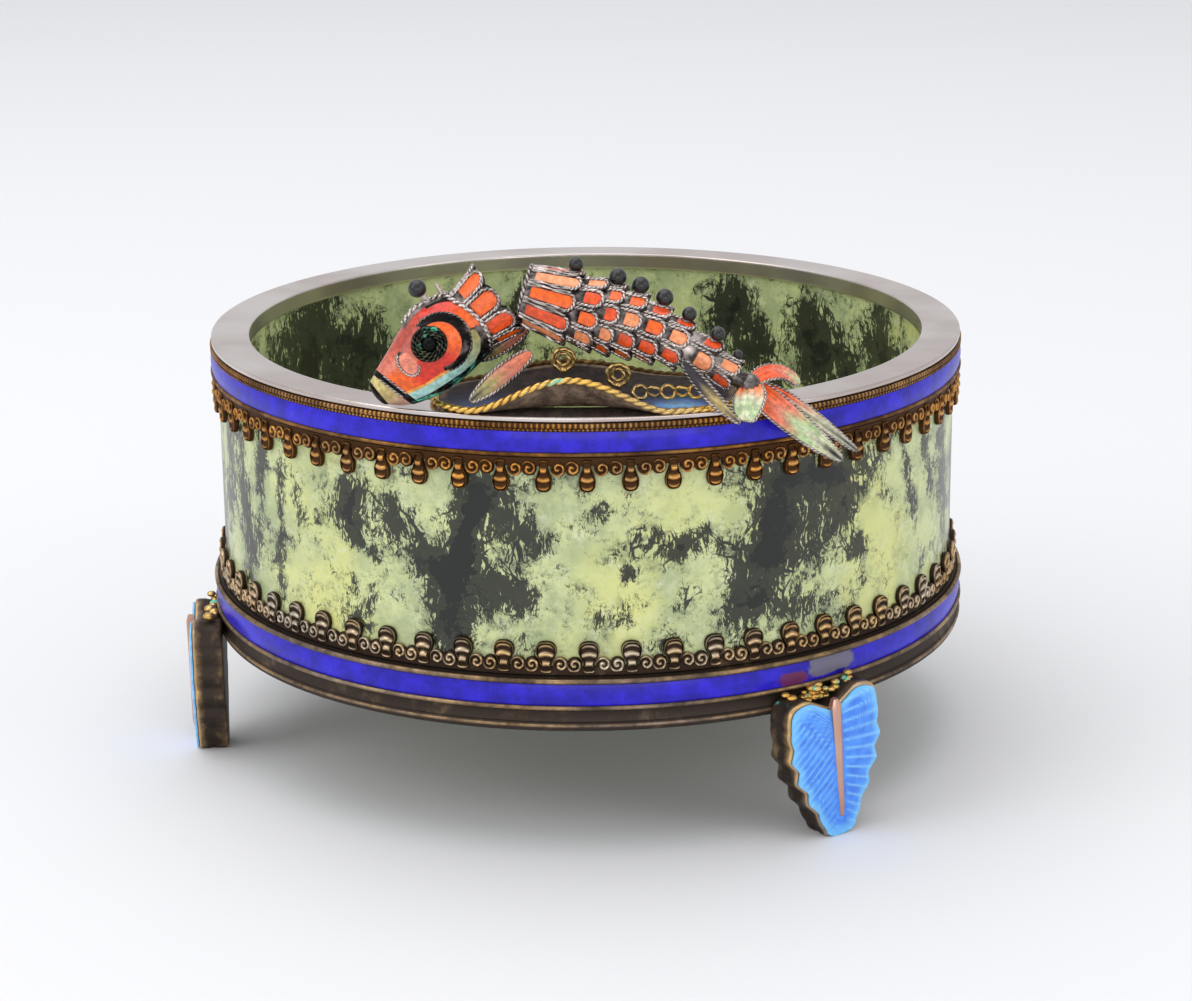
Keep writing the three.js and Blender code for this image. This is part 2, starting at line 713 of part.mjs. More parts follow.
function fishSleeve(index) {
  const frame = sleeveFrame(index);
  const rear = sleeveRadii[index];
  const tucked = index > 0;
  const front = tucked ? sleeveRadii[index - 1] - sleeveWall - 2 * turnedGap : sleeveFrontRadius;
  const start = tucked ? -sleeveOverlap : 0;
  const round = Math.PI * rear * (1 + fishFlatness);
  const count = Math.max(5, Math.round(round / scaleWidth));
  const stations = [start, sleeveLengths[index]];
  const radii = [Math.min(front, rear), rear];
  const shell = tongued(frame, radii, stations, count, scaleDepth, sleeveWall, (index % 2) / 2);
  const bead = backBeads[index];
  if (!bead) return shell;
  const along = sleeveLengths[index] - scaleDepth - bead * backBeadInset;
  const share = (along - stations[0]) / (stations[1] - stations[0]);
  const surface = THREE.MathUtils.lerp(radii[0], radii[1], share);
  const seat = inFrame(frame, along, 0, surface - sleeveWall / 2);
  const ball = inFrame(frame, along, 0, surface + bead * backBeadHeight);
  return fused([shell, rod(seat, ball, bead * backStalkShare, 5), sphereAt(ball, bead)]);
}

function fishTail() {
  const last = sleeveFrame(sleeveLengths.length - 1);
  const rootStart = inFrame(last, sleeveLengths.at(-1) - scaleDepth, 0, 0);
  const root = toVector(tailRoot);
  const lobes = tailLobes.map(([bend, tip, width, facing]) => (
    blade([root, toVector(bend), toVector(tip)], width, tailThickness, toVector(facing))
  ));
  return fused([
    rod(rootStart, root, tailRootRadius * tailNeckShare),
    sphereAt(root, tailRootRadius),
    ...lobes,
  ]);
}

// Narrow fin, bowed a little away from the straight line between its root and its tip
function fin([root, tip, width]) {
  const [from, to] = [toVector(root), toVector(tip)];
  const bend = from.clone().lerp(to, 0.5).add(toVector(finBow));
  return blade([from, bend, to], width, finThickness, toVector(finFacing));
}

// Height of the pad's upper face above the rim at a place on it
function padSurface(x, y) {
  const [dx, dy] = [x - padCentre.x, y - padCentre.y];
  const angle = Math.atan2(dy * padLength, dx * padDepth);
  const edge = padEdge(angle / (2 * Math.PI));
  const share = Math.hypot(dx, dy) / Math.hypot(edge.x, edge.y);
  return seatGap + padThickness + padRise(edge, share);
}

// Gilt ring under the belly, on a stem that stands on the pad
function fixingRing([x, y]) {
  const stemFoot = padSurface(x, y) + turnedGap;
  const nearest = evenTurns(40).map((turn) => bodyCurve.getPointAt(turn))
    .reduce((best, point) => (Math.abs(point.x - x) < Math.abs(best.x - x) ? point : best));
  const belly = nearest.z - sleeveRadii[1];
  const outer = ringDiameter / 2 + ringWire / 2;
  const centre = new THREE.Vector3(x, y, belly - turnedGap - outer);
  const ring = new THREE.TorusGeometry(ringDiameter / 2, ringWire / 2, 4, 9)
    .rotateX(Math.PI / 2).translate(...centre.toArray());
  const bottom = new THREE.Vector3(x, y, centre.z - ringDiameter / 2);
  return fused([ring, rod(new THREE.Vector3(x, y, stemFoot), bottom, ringWire / 2, 5)]);
}

function onPad([along, across]) {
  return [padCentre.x + along * padLength / 2, padCentre.y + across * padDepth / 2];
}

function chain() {
  const [start, end] = [onPad(chainStart), onPad(chainEnd)];
  const pitch = (end[0] - start[0]) / chainLinks;
  const radius = (pitch + chainWire) / 2;
  const links = Array.from({ length: chainLinks }, (_, i) => {
    const t = (i + 0.5) / chainLinks;
    const x = THREE.MathUtils.lerp(start[0], end[0], t);
    const y = THREE.MathUtils.lerp(start[1], end[1], t);
    const lie = padSurface(x, y) + turnedGap + radius;
    return new THREE.TorusGeometry(radius - chainWire / 2, chainWire / 2, 4, 6)
      .rotateX(Math.PI / 2 + (i % 2 ? chainTilt : -chainTilt))
      .translate(x, y, lie);
  });
  return fused(links);
}

function named(name, geometry, finish) {
  const mesh = new THREE.Mesh(geometry, finishes[finish]);
  mesh.name = name;
  return mesh;
}

const drum = new THREE.Group();
drum.add(
  named('stone_bowl', stoneBowl(), 'stone'),
  named('rim_plate', rimPlate(), 'silver'),
  named('upper_band', upperBand(), 'gilt'),
  named('upper_enamel', enamelRing(bandInside + upperSheet, upperEnamelBottom, upperEnamelTop), 'royalEnamel'),
  named('upper_gallery', gallery(upperBottom - seatGap, -1), 'gilt'),
  named('lower_band', lowerBand(), 'gilt'),
  named('lower_enamel', enamelRing(bandInside + lowerSheet, lowerEnamelBottom, lowerEnamelTop), 'royalEnamel'),
  named('lower_gallery', gallery(lowerTop + seatGap, 1), 'gilt'),
);

const feet = new THREE.Group();
footAzimuths.forEach((azimuth, i) => {
  const lean = [footRolls[i], footYaws[i]];
  const foot = new THREE.Group();
  foot.rotation.z = THREE.MathUtils.degToRad(azimuth);
  foot.add(
    named(`foot_${i + 1}_plate`, footPlate(azimuth, lean), 'gilt'),
    named(`foot_${i + 1}_enamel`, footEnamel(lean), 'skyEnamel'),
    named(`foot_${i + 1}_rib`, askew(footRib(0, footReach + footRibProud + turnedGap), lean), 'rib'),
  );
  feet.add(foot);
});

const perch = new THREE.Group();
perch.position.set(0, -rimRadius, rimTop);
perch.add(
  named('pad', pad(), 'darkSilver'),
  named('pad_rope', padRope(), 'brightGilt'),
  named('fish_head', fishHead(), 'coralEnamel'),
  named('fish_collar', fishCollar(), 'coralEnamel'),
  named('fish_eye_left', fishEye(-1), 'darkSilver'),
  named('fish_eye_right', fishEye(1), 'darkSilver'),
  ...sleeveLengths.map((_, i) => named(`fish_body_${i + 1}`, fishSleeve(i), 'coralEnamel')),
  named('fish_tail', fishTail(), 'coralEnamel'),
  ...Object.entries(fins).map(([name, place]) => named(name, fin(place), 'darkSilver')),
  ...fixingPlaces.map((place, i) => named(`fixing_ring_${i + 1}`, fixingRing(place), 'brightGilt')),
  named('chain', chain(), 'brightGilt'),
);

// Origin on the table, under the middle of the whole piece
const ashtray = new THREE.Group();
ashtray.add(drum, feet, perch);
const extent = new THREE.Box3().setFromObject(ashtray);
const middle = extent.getCenter(new THREE.Vector3());
ashtray.position.set(-middle.x, -middle.y, -extent.min.z);

const group = new THREE.Group();
group.add(ashtray);
export default group;
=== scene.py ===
"""Looks of a round stone ashtray bound in enamelled silver-gilt bands, with a jointed enamel fish on its rim.

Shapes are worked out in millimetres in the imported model's own frame and stored in metres.
"""
import math

import bmesh
import bpy
import numpy as np
from mathutils import Matrix, Vector


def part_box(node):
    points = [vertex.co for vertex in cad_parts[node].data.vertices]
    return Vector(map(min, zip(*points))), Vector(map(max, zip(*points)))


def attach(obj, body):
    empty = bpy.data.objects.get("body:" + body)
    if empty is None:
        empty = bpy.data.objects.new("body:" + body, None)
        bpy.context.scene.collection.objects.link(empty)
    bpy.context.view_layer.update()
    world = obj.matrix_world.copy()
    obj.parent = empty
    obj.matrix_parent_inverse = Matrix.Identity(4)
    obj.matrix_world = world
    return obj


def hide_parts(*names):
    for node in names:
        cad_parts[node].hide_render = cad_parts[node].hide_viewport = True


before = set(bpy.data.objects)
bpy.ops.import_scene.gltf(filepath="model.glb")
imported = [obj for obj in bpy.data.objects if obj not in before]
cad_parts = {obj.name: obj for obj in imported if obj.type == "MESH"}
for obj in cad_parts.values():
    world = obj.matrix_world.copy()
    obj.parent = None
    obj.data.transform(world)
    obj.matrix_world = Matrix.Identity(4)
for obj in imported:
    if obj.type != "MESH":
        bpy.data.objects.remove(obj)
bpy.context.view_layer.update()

MM = 0.001
TURN = 2 * math.pi


def corners(node):
    """Lowest and highest corner of a node of the model, in millimetres."""
    low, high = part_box(node)
    return np.array(low) / MM, np.array(high) / MM


# Places and sizes that the model gives
RIM_LOW, RIM_HIGH = corners("rim_plate")
STONE_LOW, STONE_HIGH = corners("stone_bowl")
AXIS = (RIM_LOW[:2] + RIM_HIGH[:2]) / 2
RIM_RADIUS = (RIM_HIGH[0] - RIM_LOW[0]) / 2
RIM_TOP = RIM_HIGH[2]
STONE_RADIUS = (STONE_HIGH[0] - STONE_LOW[0]) / 2
PERCH = np.array([AXIS[0], AXIS[1] - RIM_RADIUS, RIM_TOP])   # foremost point of the rim's top edge

# Stone, rim and bands
STONE_WALL = 3.6
STONE_FLOOR = 4.0
FLOOR_FILLET = 2.5
RIM_THICKNESS = 0.6
RIM_LIP = 0.5
RIM_LIP_DEPTH = 1.5
ROUND_SEGMENTS = 320
MEND_AZIMUTH = 36.5              # from the front, on the lower enamel
SPOT_AZIMUTH = 30

# Stamped galleries
GALLERY_REPEATS = 60
GALLERY_STRIP = 1.05
LOBE_HALF = ((0.5, 0.3), (0.45, 1.1), (0.72, 1.9), (1.0, 2.75), (0.88, 3.6), (0.42, 4.05))
LOBE_HEART = 2.7                 # height of the middle of its dome
CURL_HALF = (0.86, 0.9)          # half its width and half its height
CURL_PLACE = (0.335, 1.3)        # share of a repeat to the side of the lobe, and height

# Feet, from the front towards +X
FOOT_AZIMUTHS = (34.5, 157.5, -78.6)
FOOT_ROLLS = (-5, 0, 0)
FOOT_YAWS = (0, 0, -7)
FOOT_REACH = 51.4
FOOT_THICKNESS = 3.7
FOOT_WIDTH = 14.2
LEAF_TIP = 0.3
LEAF_SHOULDERS = ((0.86, 0.97), (0.55, 1.0), (0.28, 0.95))   # shares of half its width and of its height
FOOT_FLAT = 0.25
FOOT_TALL = corners("foot_2_plate")[1][2] + FOOT_FLAT
FOOT_SCALLOPS = 5
FOOT_SCALLOP_DEPTH = 0.32
FOOT_RIM = 0.35
FOOT_VEINS = 17
SOLDER_LUMPS = 34


def tone(red, green, blue):
    """Colour as a screen shows it, from 0 to 255, in the shader's own linear values."""
    share = np.array([red, green, blue]) / 255
    linear = np.where(share <= 0.04045, share / 12.92, ((share + 0.055) / 1.055) ** 2.4)
    return (*linear.tolist(), 1.0)


def ease(value, start, end):
    """Smooth step from 0 at the start to 1 at the end."""
    t = np.clip((value - start) / (end - start), 0, 1)
    return t * t * (3 - 2 * t)


def curve(points, count, closed=False):
    """Catmull-Rom curve through the points: each span is the cubic set by its ends and their neighbours."""
    points = np.asarray(points, float)
    spans = len(points) if closed else len(points) - 1
    t = np.linspace(0, spans, count, endpoint=not closed)
    k = np.minimum(t.astype(int), spans - 1)
    u = (t - k)[:, None]
    if closed:
        a, b, c, d = (points[(k + i) % len(points)] for i in (-1, 0, 1, 2))
    else:
        ends = np.vstack([2 * points[0] - points[1], points, 2 * points[-1] - points[-2]])
        a, b, c, d = (ends[k + i] for i in (0, 1, 2, 3))
    square, cube = 2 * a - 5 * b + 4 * c - d, 3 * b - a - 3 * c + d
    return 0.5 * (2 * b + (c - a) * u + square * u ** 2 + cube * u ** 3)


def round_steps(count):
    """Angles of even steps round one turn."""
    return np.arange(count) / count * TURN


def unit(vectors):
    """The vectors at length one."""
    return vectors / np.maximum(np.linalg.norm(vectors, axis=-1, keepdims=True), 1e-9)


def surface(points, rows_close=False, **marks):
    """Points of a grid, or of a stack of grids closed across, the quads between them, and marks per point."""
    *stack, rows, columns, _ = points.shape
    r = np.arange(rows if rows_close else rows - 1)
    r, c = np.meshgrid(r, np.arange(columns), indexing="ij")
    below, beside = (r + 1) % rows, (c + 1) % columns
    here, there = r * columns, below * columns
    quads = np.stack([here + c, here + beside, there + beside, there + c], -1)
    first = np.arange(int(np.prod(stack))) * rows * columns
    quads = (quads.reshape(1, -1, 4) + first[:, None, None]).reshape(-1, 4)
    shape = points.shape[:-1]
    spread = {}
    for name, values in marks.items():
        values = np.asarray(values, float)
        deep = values.ndim > 0 and values.shape[-1] == 3
        full = np.broadcast_to(values, shape + (3,) if deep else shape)
        spread[name] = full.reshape(-1, 3) if deep else full.reshape(-1)
    return {"points": points.reshape(-1, 3), "quads": quads, "marks": spread}


def make(name, parts, material, nodes=(), crease=60):
    """One piece from several surfaces: places in metres, doubles merged, faces outwards, shaded smooth."""
    counts = np.cumsum([0] + [len(part["points"]) for part in parts])
    points = np.vstack([part["points"] for part in parts]) * MM
    quads = np.vstack([part["quads"] + start for part, start in zip(parts, counts)])
    mesh = bpy.data.meshes.new(name)
    mesh.vertices.add(len(points))
    mesh.vertices.foreach_set("co", points.astype(np.float32).ravel())
    mesh.loops.add(len(quads) * 4)
    mesh.loops.foreach_set("vertex_index", quads.astype(np.int32).ravel())
    mesh.polygons.add(len(quads))
    mesh.polygons.foreach_set("loop_start", np.arange(0, len(quads) * 4, 4, dtype=np.int32))
    mesh.update(calc_edges=True)
    marks = sorted({mark for part in parts for mark in part["marks"]})
    for mark in marks:
        values = [part["marks"].get(mark) for part in parts]
        deep = any(v is not None and v.ndim == 2 for v in values)
        blanks = [np.zeros((len(p["points"]), 3) if deep else len(p["points"])) for p in parts]
        values = np.concatenate([blank if v is None else v for v, blank in zip(values, blanks)])
        if deep:
            layer = mesh.attributes.new(mark, "FLOAT_COLOR", "POINT")
            layer.data.foreach_set("color", np.c_[values, np.ones(len(values))].astype(np.float32).ravel())
        else:
            layer = mesh.attributes.new(mark, "FLOAT", "POINT")
            layer.data.foreach_set("value", values.astype(np.float32))
    shell = bmesh.new()
    shell.from_mesh(mesh)
    bmesh.ops.remove_doubles(shell, verts=shell.verts, dist=0.000002)
    bmesh.ops.recalc_face_normals(shell, faces=shell.faces)
    shell.to_mesh(mesh)
    shell.free()
    mesh.set_sharp_from_angle(angle=math.radians(crease))
    mesh.materials.append(material)
    piece = bpy.data.objects.new(name, mesh)
    bpy.context.scene.collection.objects.link(piece)
    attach(piece, "root")
    if nodes:
        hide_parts(*nodes)
    return piece


def softened(profile, radius=0.12):
    """Closed profile with each corner rounded by a short bend, and a point on both sides to hold it."""
    corner = np.asarray(profile, float)
    before, after = np.roll(corner, 1, axis=0) - corner, np.roll(corner, -1, axis=0) - corner
    shares = []
    for way in (before, after):
        length = np.linalg.norm(way, axis=1, keepdims=True)
        near = np.minimum(radius, length * 0.3) / length
        held = np.minimum(radius * 3, length * 0.45) / length
        shares.append((corner + way * held, corner + way * near))
    (hold_in, turn_in), (hold_out, turn_out) = shares
    bend = (turn_in + 2 * corner + turn_out) / 4
    return np.stack([hold_in, turn_in, bend, turn_out, hold_out], 1).reshape(-1, 2)


def turned(profile, segments=ROUND_SEGMENTS, **marks):
    """Closed profile of [radius, height] carried round the drum's axis."""
    profile = np.asarray(profile, float)
    angle = round_steps(segments)
    places = np.stack([
        AXIS[0] + profile[:, :1] * np.cos(angle),
        AXIS[1] + profile[:, :1] * np.sin(angle),
        np.broadcast_to(profile[:, 1:], (len(profile), segments)),
    ], -1)
    return surface(places, rows_close=True, **marks)


def round_drum(around, height, out, radius=STONE_RADIUS):
    """Place on the drum: arc length round it from its foremost point, height, and distance off the stone."""
    angle = around / radius - TURN / 4
    reach = radius + out
    return np.stack(np.broadcast_arrays(
        AXIS[0] + reach * np.cos(angle), AXIS[1] + reach * np.sin(angle), height), -1)


def tube(path, radius, sides=8, closed=False, pitch=None, depth=0.3, upright=(0, 0, 1), high=0.75):
    """Round section carried along a path. With a pitch its radius is r (1 - d (1 - |cos(a - pi s / p)|)), a
    twist of two strands, where a is the angle round the section and s the length along the path."""
    path = np.asarray(path, float)
    along = unit(np.roll(path, -1, 0) - np.roll(path, 1, 0) if closed else np.gradient(path, axis=0))
    side = unit(np.cross(along, np.broadcast_to(upright, path.shape)))
    up = np.cross(side, along)
    steps = np.linalg.norm(np.diff(path, axis=0), axis=1)
    length = np.r_[0, np.cumsum(steps)]
    angle = round_steps(sides)
    ridge = np.ones((len(path), sides))
    if pitch:
        whole = length[-1] + (np.linalg.norm(path[0] - path[-1]) if closed else 0)
        twists = max(1, round(whole / pitch))
        ridge = np.abs(np.cos(angle - math.pi * twists * length[:, None] / whole))
    reach = np.broadcast_to(radius, len(path))[:, None] * (1 - depth * (1 - ridge) if pitch else ridge)
    places = (path[:, None] + side[:, None] * (reach * np.cos(angle))[..., None]
              + up[:, None] * (reach * np.sin(angle))[..., None])
    shine = high * (0.25 + 0.75 * ridge) if pitch else np.full_like(ridge, high)
    if not closed:
        places = np.concatenate([np.repeat(path[None, :1], sides, 1), places,
                                 np.repeat(path[None, -1:], sides, 1)])
        shine = np.pad(shine, ((1, 1), (0, 0)), mode="edge")
    return surface(places, rows_close=closed, high=shine)


def ball(centre, radius, rows=10, columns=14, squash=1.0, high=0.9):
    """Sphere of latitude rings round an upright axis."""
    tilt, angle = np.linspace(0, math.pi, rows), round_steps(columns)
    tilt, angle = np.meshgrid(tilt, angle, indexing="ij")
    around = np.stack([np.sin(tilt) * np.cos(angle), np.sin(tilt) * np.sin(angle), squash * np.cos(tilt)], -1)
    return surface(np.asarray(centre) + radius * around, high=high)


def bead(centre, radius):
    """Dark polished bead."""
    made = ball(centre, radius, 18, 26, high=0.2)
    made["marks"]["cell"] = np.ones(len(made["points"]))
    made["marks"]["paint"] = np.broadcast_to(tone(20, 19, 20)[:3], made["points"].shape)
    return made


# Materials

def feed(tree, socket, value):
    """Join a socket to another node's output, or set it to a value."""
    if isinstance(value, bpy.types.NodeSocket):
        tree.links.new(value, socket)
    else:
        socket.default_value = value


def add(tree, kind, inputs=None, **settings):
    """New node with its settings, and each input either joined to another node's output or set to a value."""
    node = tree.nodes.new(kind)
    for setting, value in settings.items():
        setattr(node, setting, value)
    for name, value in (inputs or {}).items():
        feed(tree, node.inputs[name], value)
    return node


def material(name, roughness=0.4, metallic=0.0, sockets=None):
    """New material, with its node tree, its shader, and the piece's own coordinates."""
    made = bpy.data.materials.new(name)
    made.use_nodes = True
    tree = made.node_tree
    shader = tree.nodes["Principled BSDF"]
    for socket, value in {"Roughness": roughness, "Metallic": metallic, **(sockets or {})}.items():
        shader.inputs[socket].default_value = value
    return made, tree, shader, add(tree, "ShaderNodeTexCoord").outputs["Object"]


def noise(tree, place, scale, detail=3.0, roughness=0.55, colour=False):
    """Cloudy noise, as a number or as three of them."""
    inputs = {"Vector": place, "Scale": scale, "Detail": detail, "Roughness": roughness}
    return add(tree, "ShaderNodeTexNoise", inputs).outputs["Color" if colour else "Fac"]


def maths(tree, operation, a, b=0.0, c=0.0):
    """Result of one operation on up to three numbers."""
    node = add(tree, "ShaderNodeMath", operation=operation)
    for socket, value in zip(node.inputs, (a, b, c)):
        feed(tree, socket, value)
    return node.outputs[0]


def between(tree, value, low, high, start=0.0, end=1.0):
    """The value's share of the way from low to high, smoothed and set between start and end."""
    return add(tree, "ShaderNodeMapRange",
               {"Value": value, "From Min": low, "From Max": high, "To Min": start, "To Max": end},
               interpolation_type="SMOOTHSTEP").outputs["Result"]


def blended(tree, share, first, second):
    """Colour at a share of the way from the first to the second."""
    node = add(tree, "ShaderNodeMix", data_type="RGBA")
    for socket, value in zip((node.inputs[0], node.inputs[6], node.inputs[7]), (share, first, second)):
        feed(tree, socket, value)
    return node.outputs[2]


def mark(tree, name, output="Fac"):
    """Value that the mesh carries per point."""
    return add(tree, "ShaderNodeAttribute", attribute_name=name).outputs[output]


def bumped(tree, shader, height, distance, strength=1.0):
    """Fine relief in the shading alone, its distance in metres."""
    bump = add(tree, "ShaderNodeBump", {"Height": height, "Distance": distance, "Strength": strength})
    tree.links.new(bump.outputs["Normal"], shader.inputs["Normal"])


def join(tree, output, shader, socket):
    """Feed a node's output to the shader."""
    tree.links.new(output, shader.inputs[socket])


def scaled(tree, vector, by):
    """Vector or colour times a number."""
    return add(tree, "ShaderNodeVectorMath", {0: vector, "Scale": by}, operation="SCALE").outputs[0]


def drawn_out(tree, place, lean, stretch):
    """Coordinates leaned about the Y axis and drawn out along Z."""
    inputs = {"Vector": place, "Rotation": (0.0, lean, 0.0), "Scale": (1.0, 1.0, stretch)}
    return add(tree, "ShaderNodeMapping", inputs).outputs["Vector"]


def aged_metal(name, bright, dark, wear=(0.35, 0.75), bloom=None, roughness=(0.28, 0.6), grain=900.0):
    """Oxidised metal: bright where the mark "high" and the noise say that it is rubbed, dark in its recesses,
    with copper bloom where the mark "bloom" asks for it."""
    made, tree, shader, place = material(name, metallic=0.9)
    patchy = noise(tree, place, 160, 5, 0.6)
    fine = noise(tree, place, grain, 3, 0.6)
    rubbed = maths(tree, "MULTIPLY_ADD", patchy, 0.9, mark(tree, "high"))
    rubbed = maths(tree, "MULTIPLY_ADD", fine, 0.45, rubbed)
    share = between(tree, rubbed, wear[0] + 0.6, wear[1] + 0.65)
    warm = blended(tree, between(tree, noise(tree, place, 60, 3), 0.35, 0.65), bright[0], bright[1])
    colour = blended(tree, share, dark, warm)
    rough = between(tree, share, 0.0, 1.0, roughness[1], roughness[0])
    if bloom:
        crust = maths(tree, "ADD", noise(tree, place, 500, 6, 0.7), mark(tree, "bloom"))
        crust = between(tree, crust, 0.98, 1.12)
        colour = blended(tree, crust, colour, bloom)
        join(tree, maths(tree, "MULTIPLY_ADD", crust, -0.85, 0.9), shader, "Metallic")
        rough = maths(tree, "MULTIPLY_ADD", crust, 0.4, rough)
    join(tree, colour, shader, "Base Color")
    join(tree, rough, shader, "Roughness")
    bumped(tree, shader, maths(tree, "MULTIPLY_ADD", fine, 0.4, patchy), 0.00006, 0.5)
    return made


def enamel(name, deep, pale, roughness=0.12, mottle=350.0, coat=0.8):
    """Fired glass: a glossy coat over a colour that clouds a little, with pits and a slight unevenness."""
    sockets = {"Coat Weight": coat, "Coat Roughness": roughness, "Specular IOR Level": 0.25}
    made, tree, shader, place = material(name, 0.4, sockets=sockets)
    cloud = noise(tree, place, mottle, 5, 0.65)
    speck = between(tree, noise(tree, place, 2200, 2, 0.5), 0.62, 0.74)
    colour = blended(tree, between(tree, cloud, 0.3, 0.72), deep, pale)
    dim = tuple(0.45 * c for c in deep[:3]) + (1.0,)
    colour = blended(tree, maths(tree, "MULTIPLY", speck, 0.5), colour, dim)
    for place_mark, stain in (("mend", tone(112, 110, 110)), ("spot", tone(104, 34, 42))):
        edge = maths(tree, "MULTIPLY_ADD", maths(tree, "SUBTRACT", cloud, 0.5), 1.6, mark(tree, place_mark))
        colour = blended(tree, between(tree, edge, 0.35, 0.6, 0.0, 0.85), colour, stain)
    join(tree, colour, shader, "Base Color")
    bumped(tree, shader, cloud, 0.00008, 0.25)
    return made


def stone_material():
    """Pale green stone with black feathery markings. Strands are the zero lines of noises drawn out along
    three leaning directions, and twigs the edges of two drawn-out cell patterns. Both widen into solid black
    as the mark "patch" and a cloudy noise rise."""
    sockets = {"Coat Weight": 0.12, "Coat Roughness": 0.12, "Specular IOR Level": 0.35}
    made, tree, shader, place = material("polished_stone", 0.34, sockets=sockets)
    warp = {0: noise(tree, place, 160, 3, 0.6, colour=True), 1: (0.5, 0.5, 0.5)}
    warp = add(tree, "ShaderNodeVectorMath", warp, operation="SUBTRACT").outputs[0]
    bent = {0: scaled(tree, warp, 0.0032), 1: place}
    bent = add(tree, "ShaderNodeVectorMath", bent, operation="ADD").outputs[0]
    patch = mark(tree, "patch")
    cloud = noise(tree, bent, 230, 7, 0.72)
    field = maths(tree, "MULTIPLY_ADD", maths(tree, "SUBTRACT", cloud, 0.5), 1.9, patch)
    strands = None
    for lean, scale, stretch in ((0.45, 700, 0.16), (-0.7, 840, 0.18), (1.15, 620, 0.22)):
        drawn = drawn_out(tree, bent, lean, stretch)
        ridge = maths(tree, "ABSOLUTE", maths(tree, "SUBTRACT", noise(tree, drawn, scale, 4, 0.6), 0.5))
        strands = ridge if strands is None else maths(tree, "MINIMUM", strands, ridge)
    for lean, scale in ((0.5, 360), (-0.6, 520)):
        cells = {"Vector": drawn_out(tree, bent, lean, 0.42), "Scale": scale}
        twigs = add(tree, "ShaderNodeTexVoronoi", cells, feature="DISTANCE_TO_EDGE")
        strands = maths(tree, "MINIMUM", strands, maths(tree, "MULTIPLY", twigs.outputs["Distance"], 0.62))
    ink = between(tree, maths(tree, "MULTIPLY_ADD", strands, -9.0, field), 0.02, 0.2)
    core = between(tree, maths(tree, "MULTIPLY_ADD", noise(tree, bent, 900, 4, 0.7), 0.7, field), 0.92, 1.16)
    dots = between(tree, noise(tree, place, 2100, 3, 0.65), 0.57, 0.63)
    dots = maths(tree, "MULTIPLY", dots, between(tree, field, -0.12, 0.3))
    black = maths(tree, "MAXIMUM", maths(tree, "MULTIPLY", ink, 0.95), core)
    black = maths(tree, "MAXIMUM", black, maths(tree, "MULTIPLY", dots, 0.8))
    pale = blended(tree, between(tree, noise(tree, place, 150, 6, 0.65), 0.38, 0.62),
                   tone(160, 172, 128), tone(196, 204, 148))
    pale = blended(tree, between(tree, noise(tree, place, 48, 3), 0.52, 0.7), pale, tone(206, 208, 132))
    milky = between(tree, noise(tree, bent, 520, 6, 0.75), 0.5, 0.72, 0.0, 0.6)
    pale = blended(tree, milky, pale, tone(206, 212, 184))
    rust = between(tree, noise(tree, bent, 420, 5, 0.8), 0.68, 0.76, 0.0, 0.55)
    pale = blended(tree, rust, pale, tone(176, 150, 84))
    grey = between(tree, noise(tree, bent, 330, 7, 0.78), 0.5, 0.62, 0.0, 0.85)
    grey = maths(tree, "MULTIPLY", grey, between(tree, field, -0.3, 0.35))
    pale = blended(tree, grey, pale, tone(104, 114, 88))
    join(tree, blended(tree, black, pale, tone(26, 28, 26)), shader, "Base Color")
    join(tree, maths(tree, "MULTIPLY_ADD", black, -0.08, 0.36), shader, "Roughness")
    bumped(tree, shader, noise(tree, place, 700, 4), 0.00004, 0.2)
    return made


def sky_material():
    """Sky blue enamel over fine ribs that show as paler lines: the marks "vein" and "edge" place them."""
    sockets = {"Coat Weight": 0.6, "Coat Roughness": 0.2}
    made, tree, shader, place = material("sky_enamel", 0.3, sockets=sockets)
    vein = mark(tree, "vein")
    cloud = noise(tree, place, 900, 4, 0.6)
    base = blended(tree, between(tree, cloud, 0.3, 0.7), tone(34, 112, 226), tone(62, 146, 246))
    base = blended(tree, maths(tree, "MULTIPLY", mark(tree, "edge"), 0.8), base, tone(112, 196, 246))
    colour = blended(tree, maths(tree, "MULTIPLY", vein, 0.75), base, tone(134, 206, 250))
    join(tree, colour, shader, "Base Color")
    bumped(tree, shader, maths(tree, "MULTIPLY_ADD", cloud, 0.15, vein), 0.00012, 0.6)
    return made


VERDIGRIS = tone(96, 206, 178)


def lotus_material():
    """Brown metal with thin clouded enamel: the mark "paint" gives the colour, and "gloss" the shine."""
    sockets = {"Specular IOR Level": 0.15, "Coat Roughness": 0.2}
    made, tree, shader, place = material("lotus_enamel", 0.8, sockets=sockets)
    paint = mark(tree, "paint", "Color")
    light, deep = scaled(tree, paint, 1.6), scaled(tree, paint, 0.45)
    cloud = noise(tree, place, 620, 5, 0.7)
    join(tree, blended(tree, between(tree, cloud, 0.35, 0.68), deep, light), shader, "Base Color")
    join(tree, mark(tree, "gloss"), shader, "Coat Weight")
    bumped(tree, shader, cloud, 0.0001, 0.4)
    return made


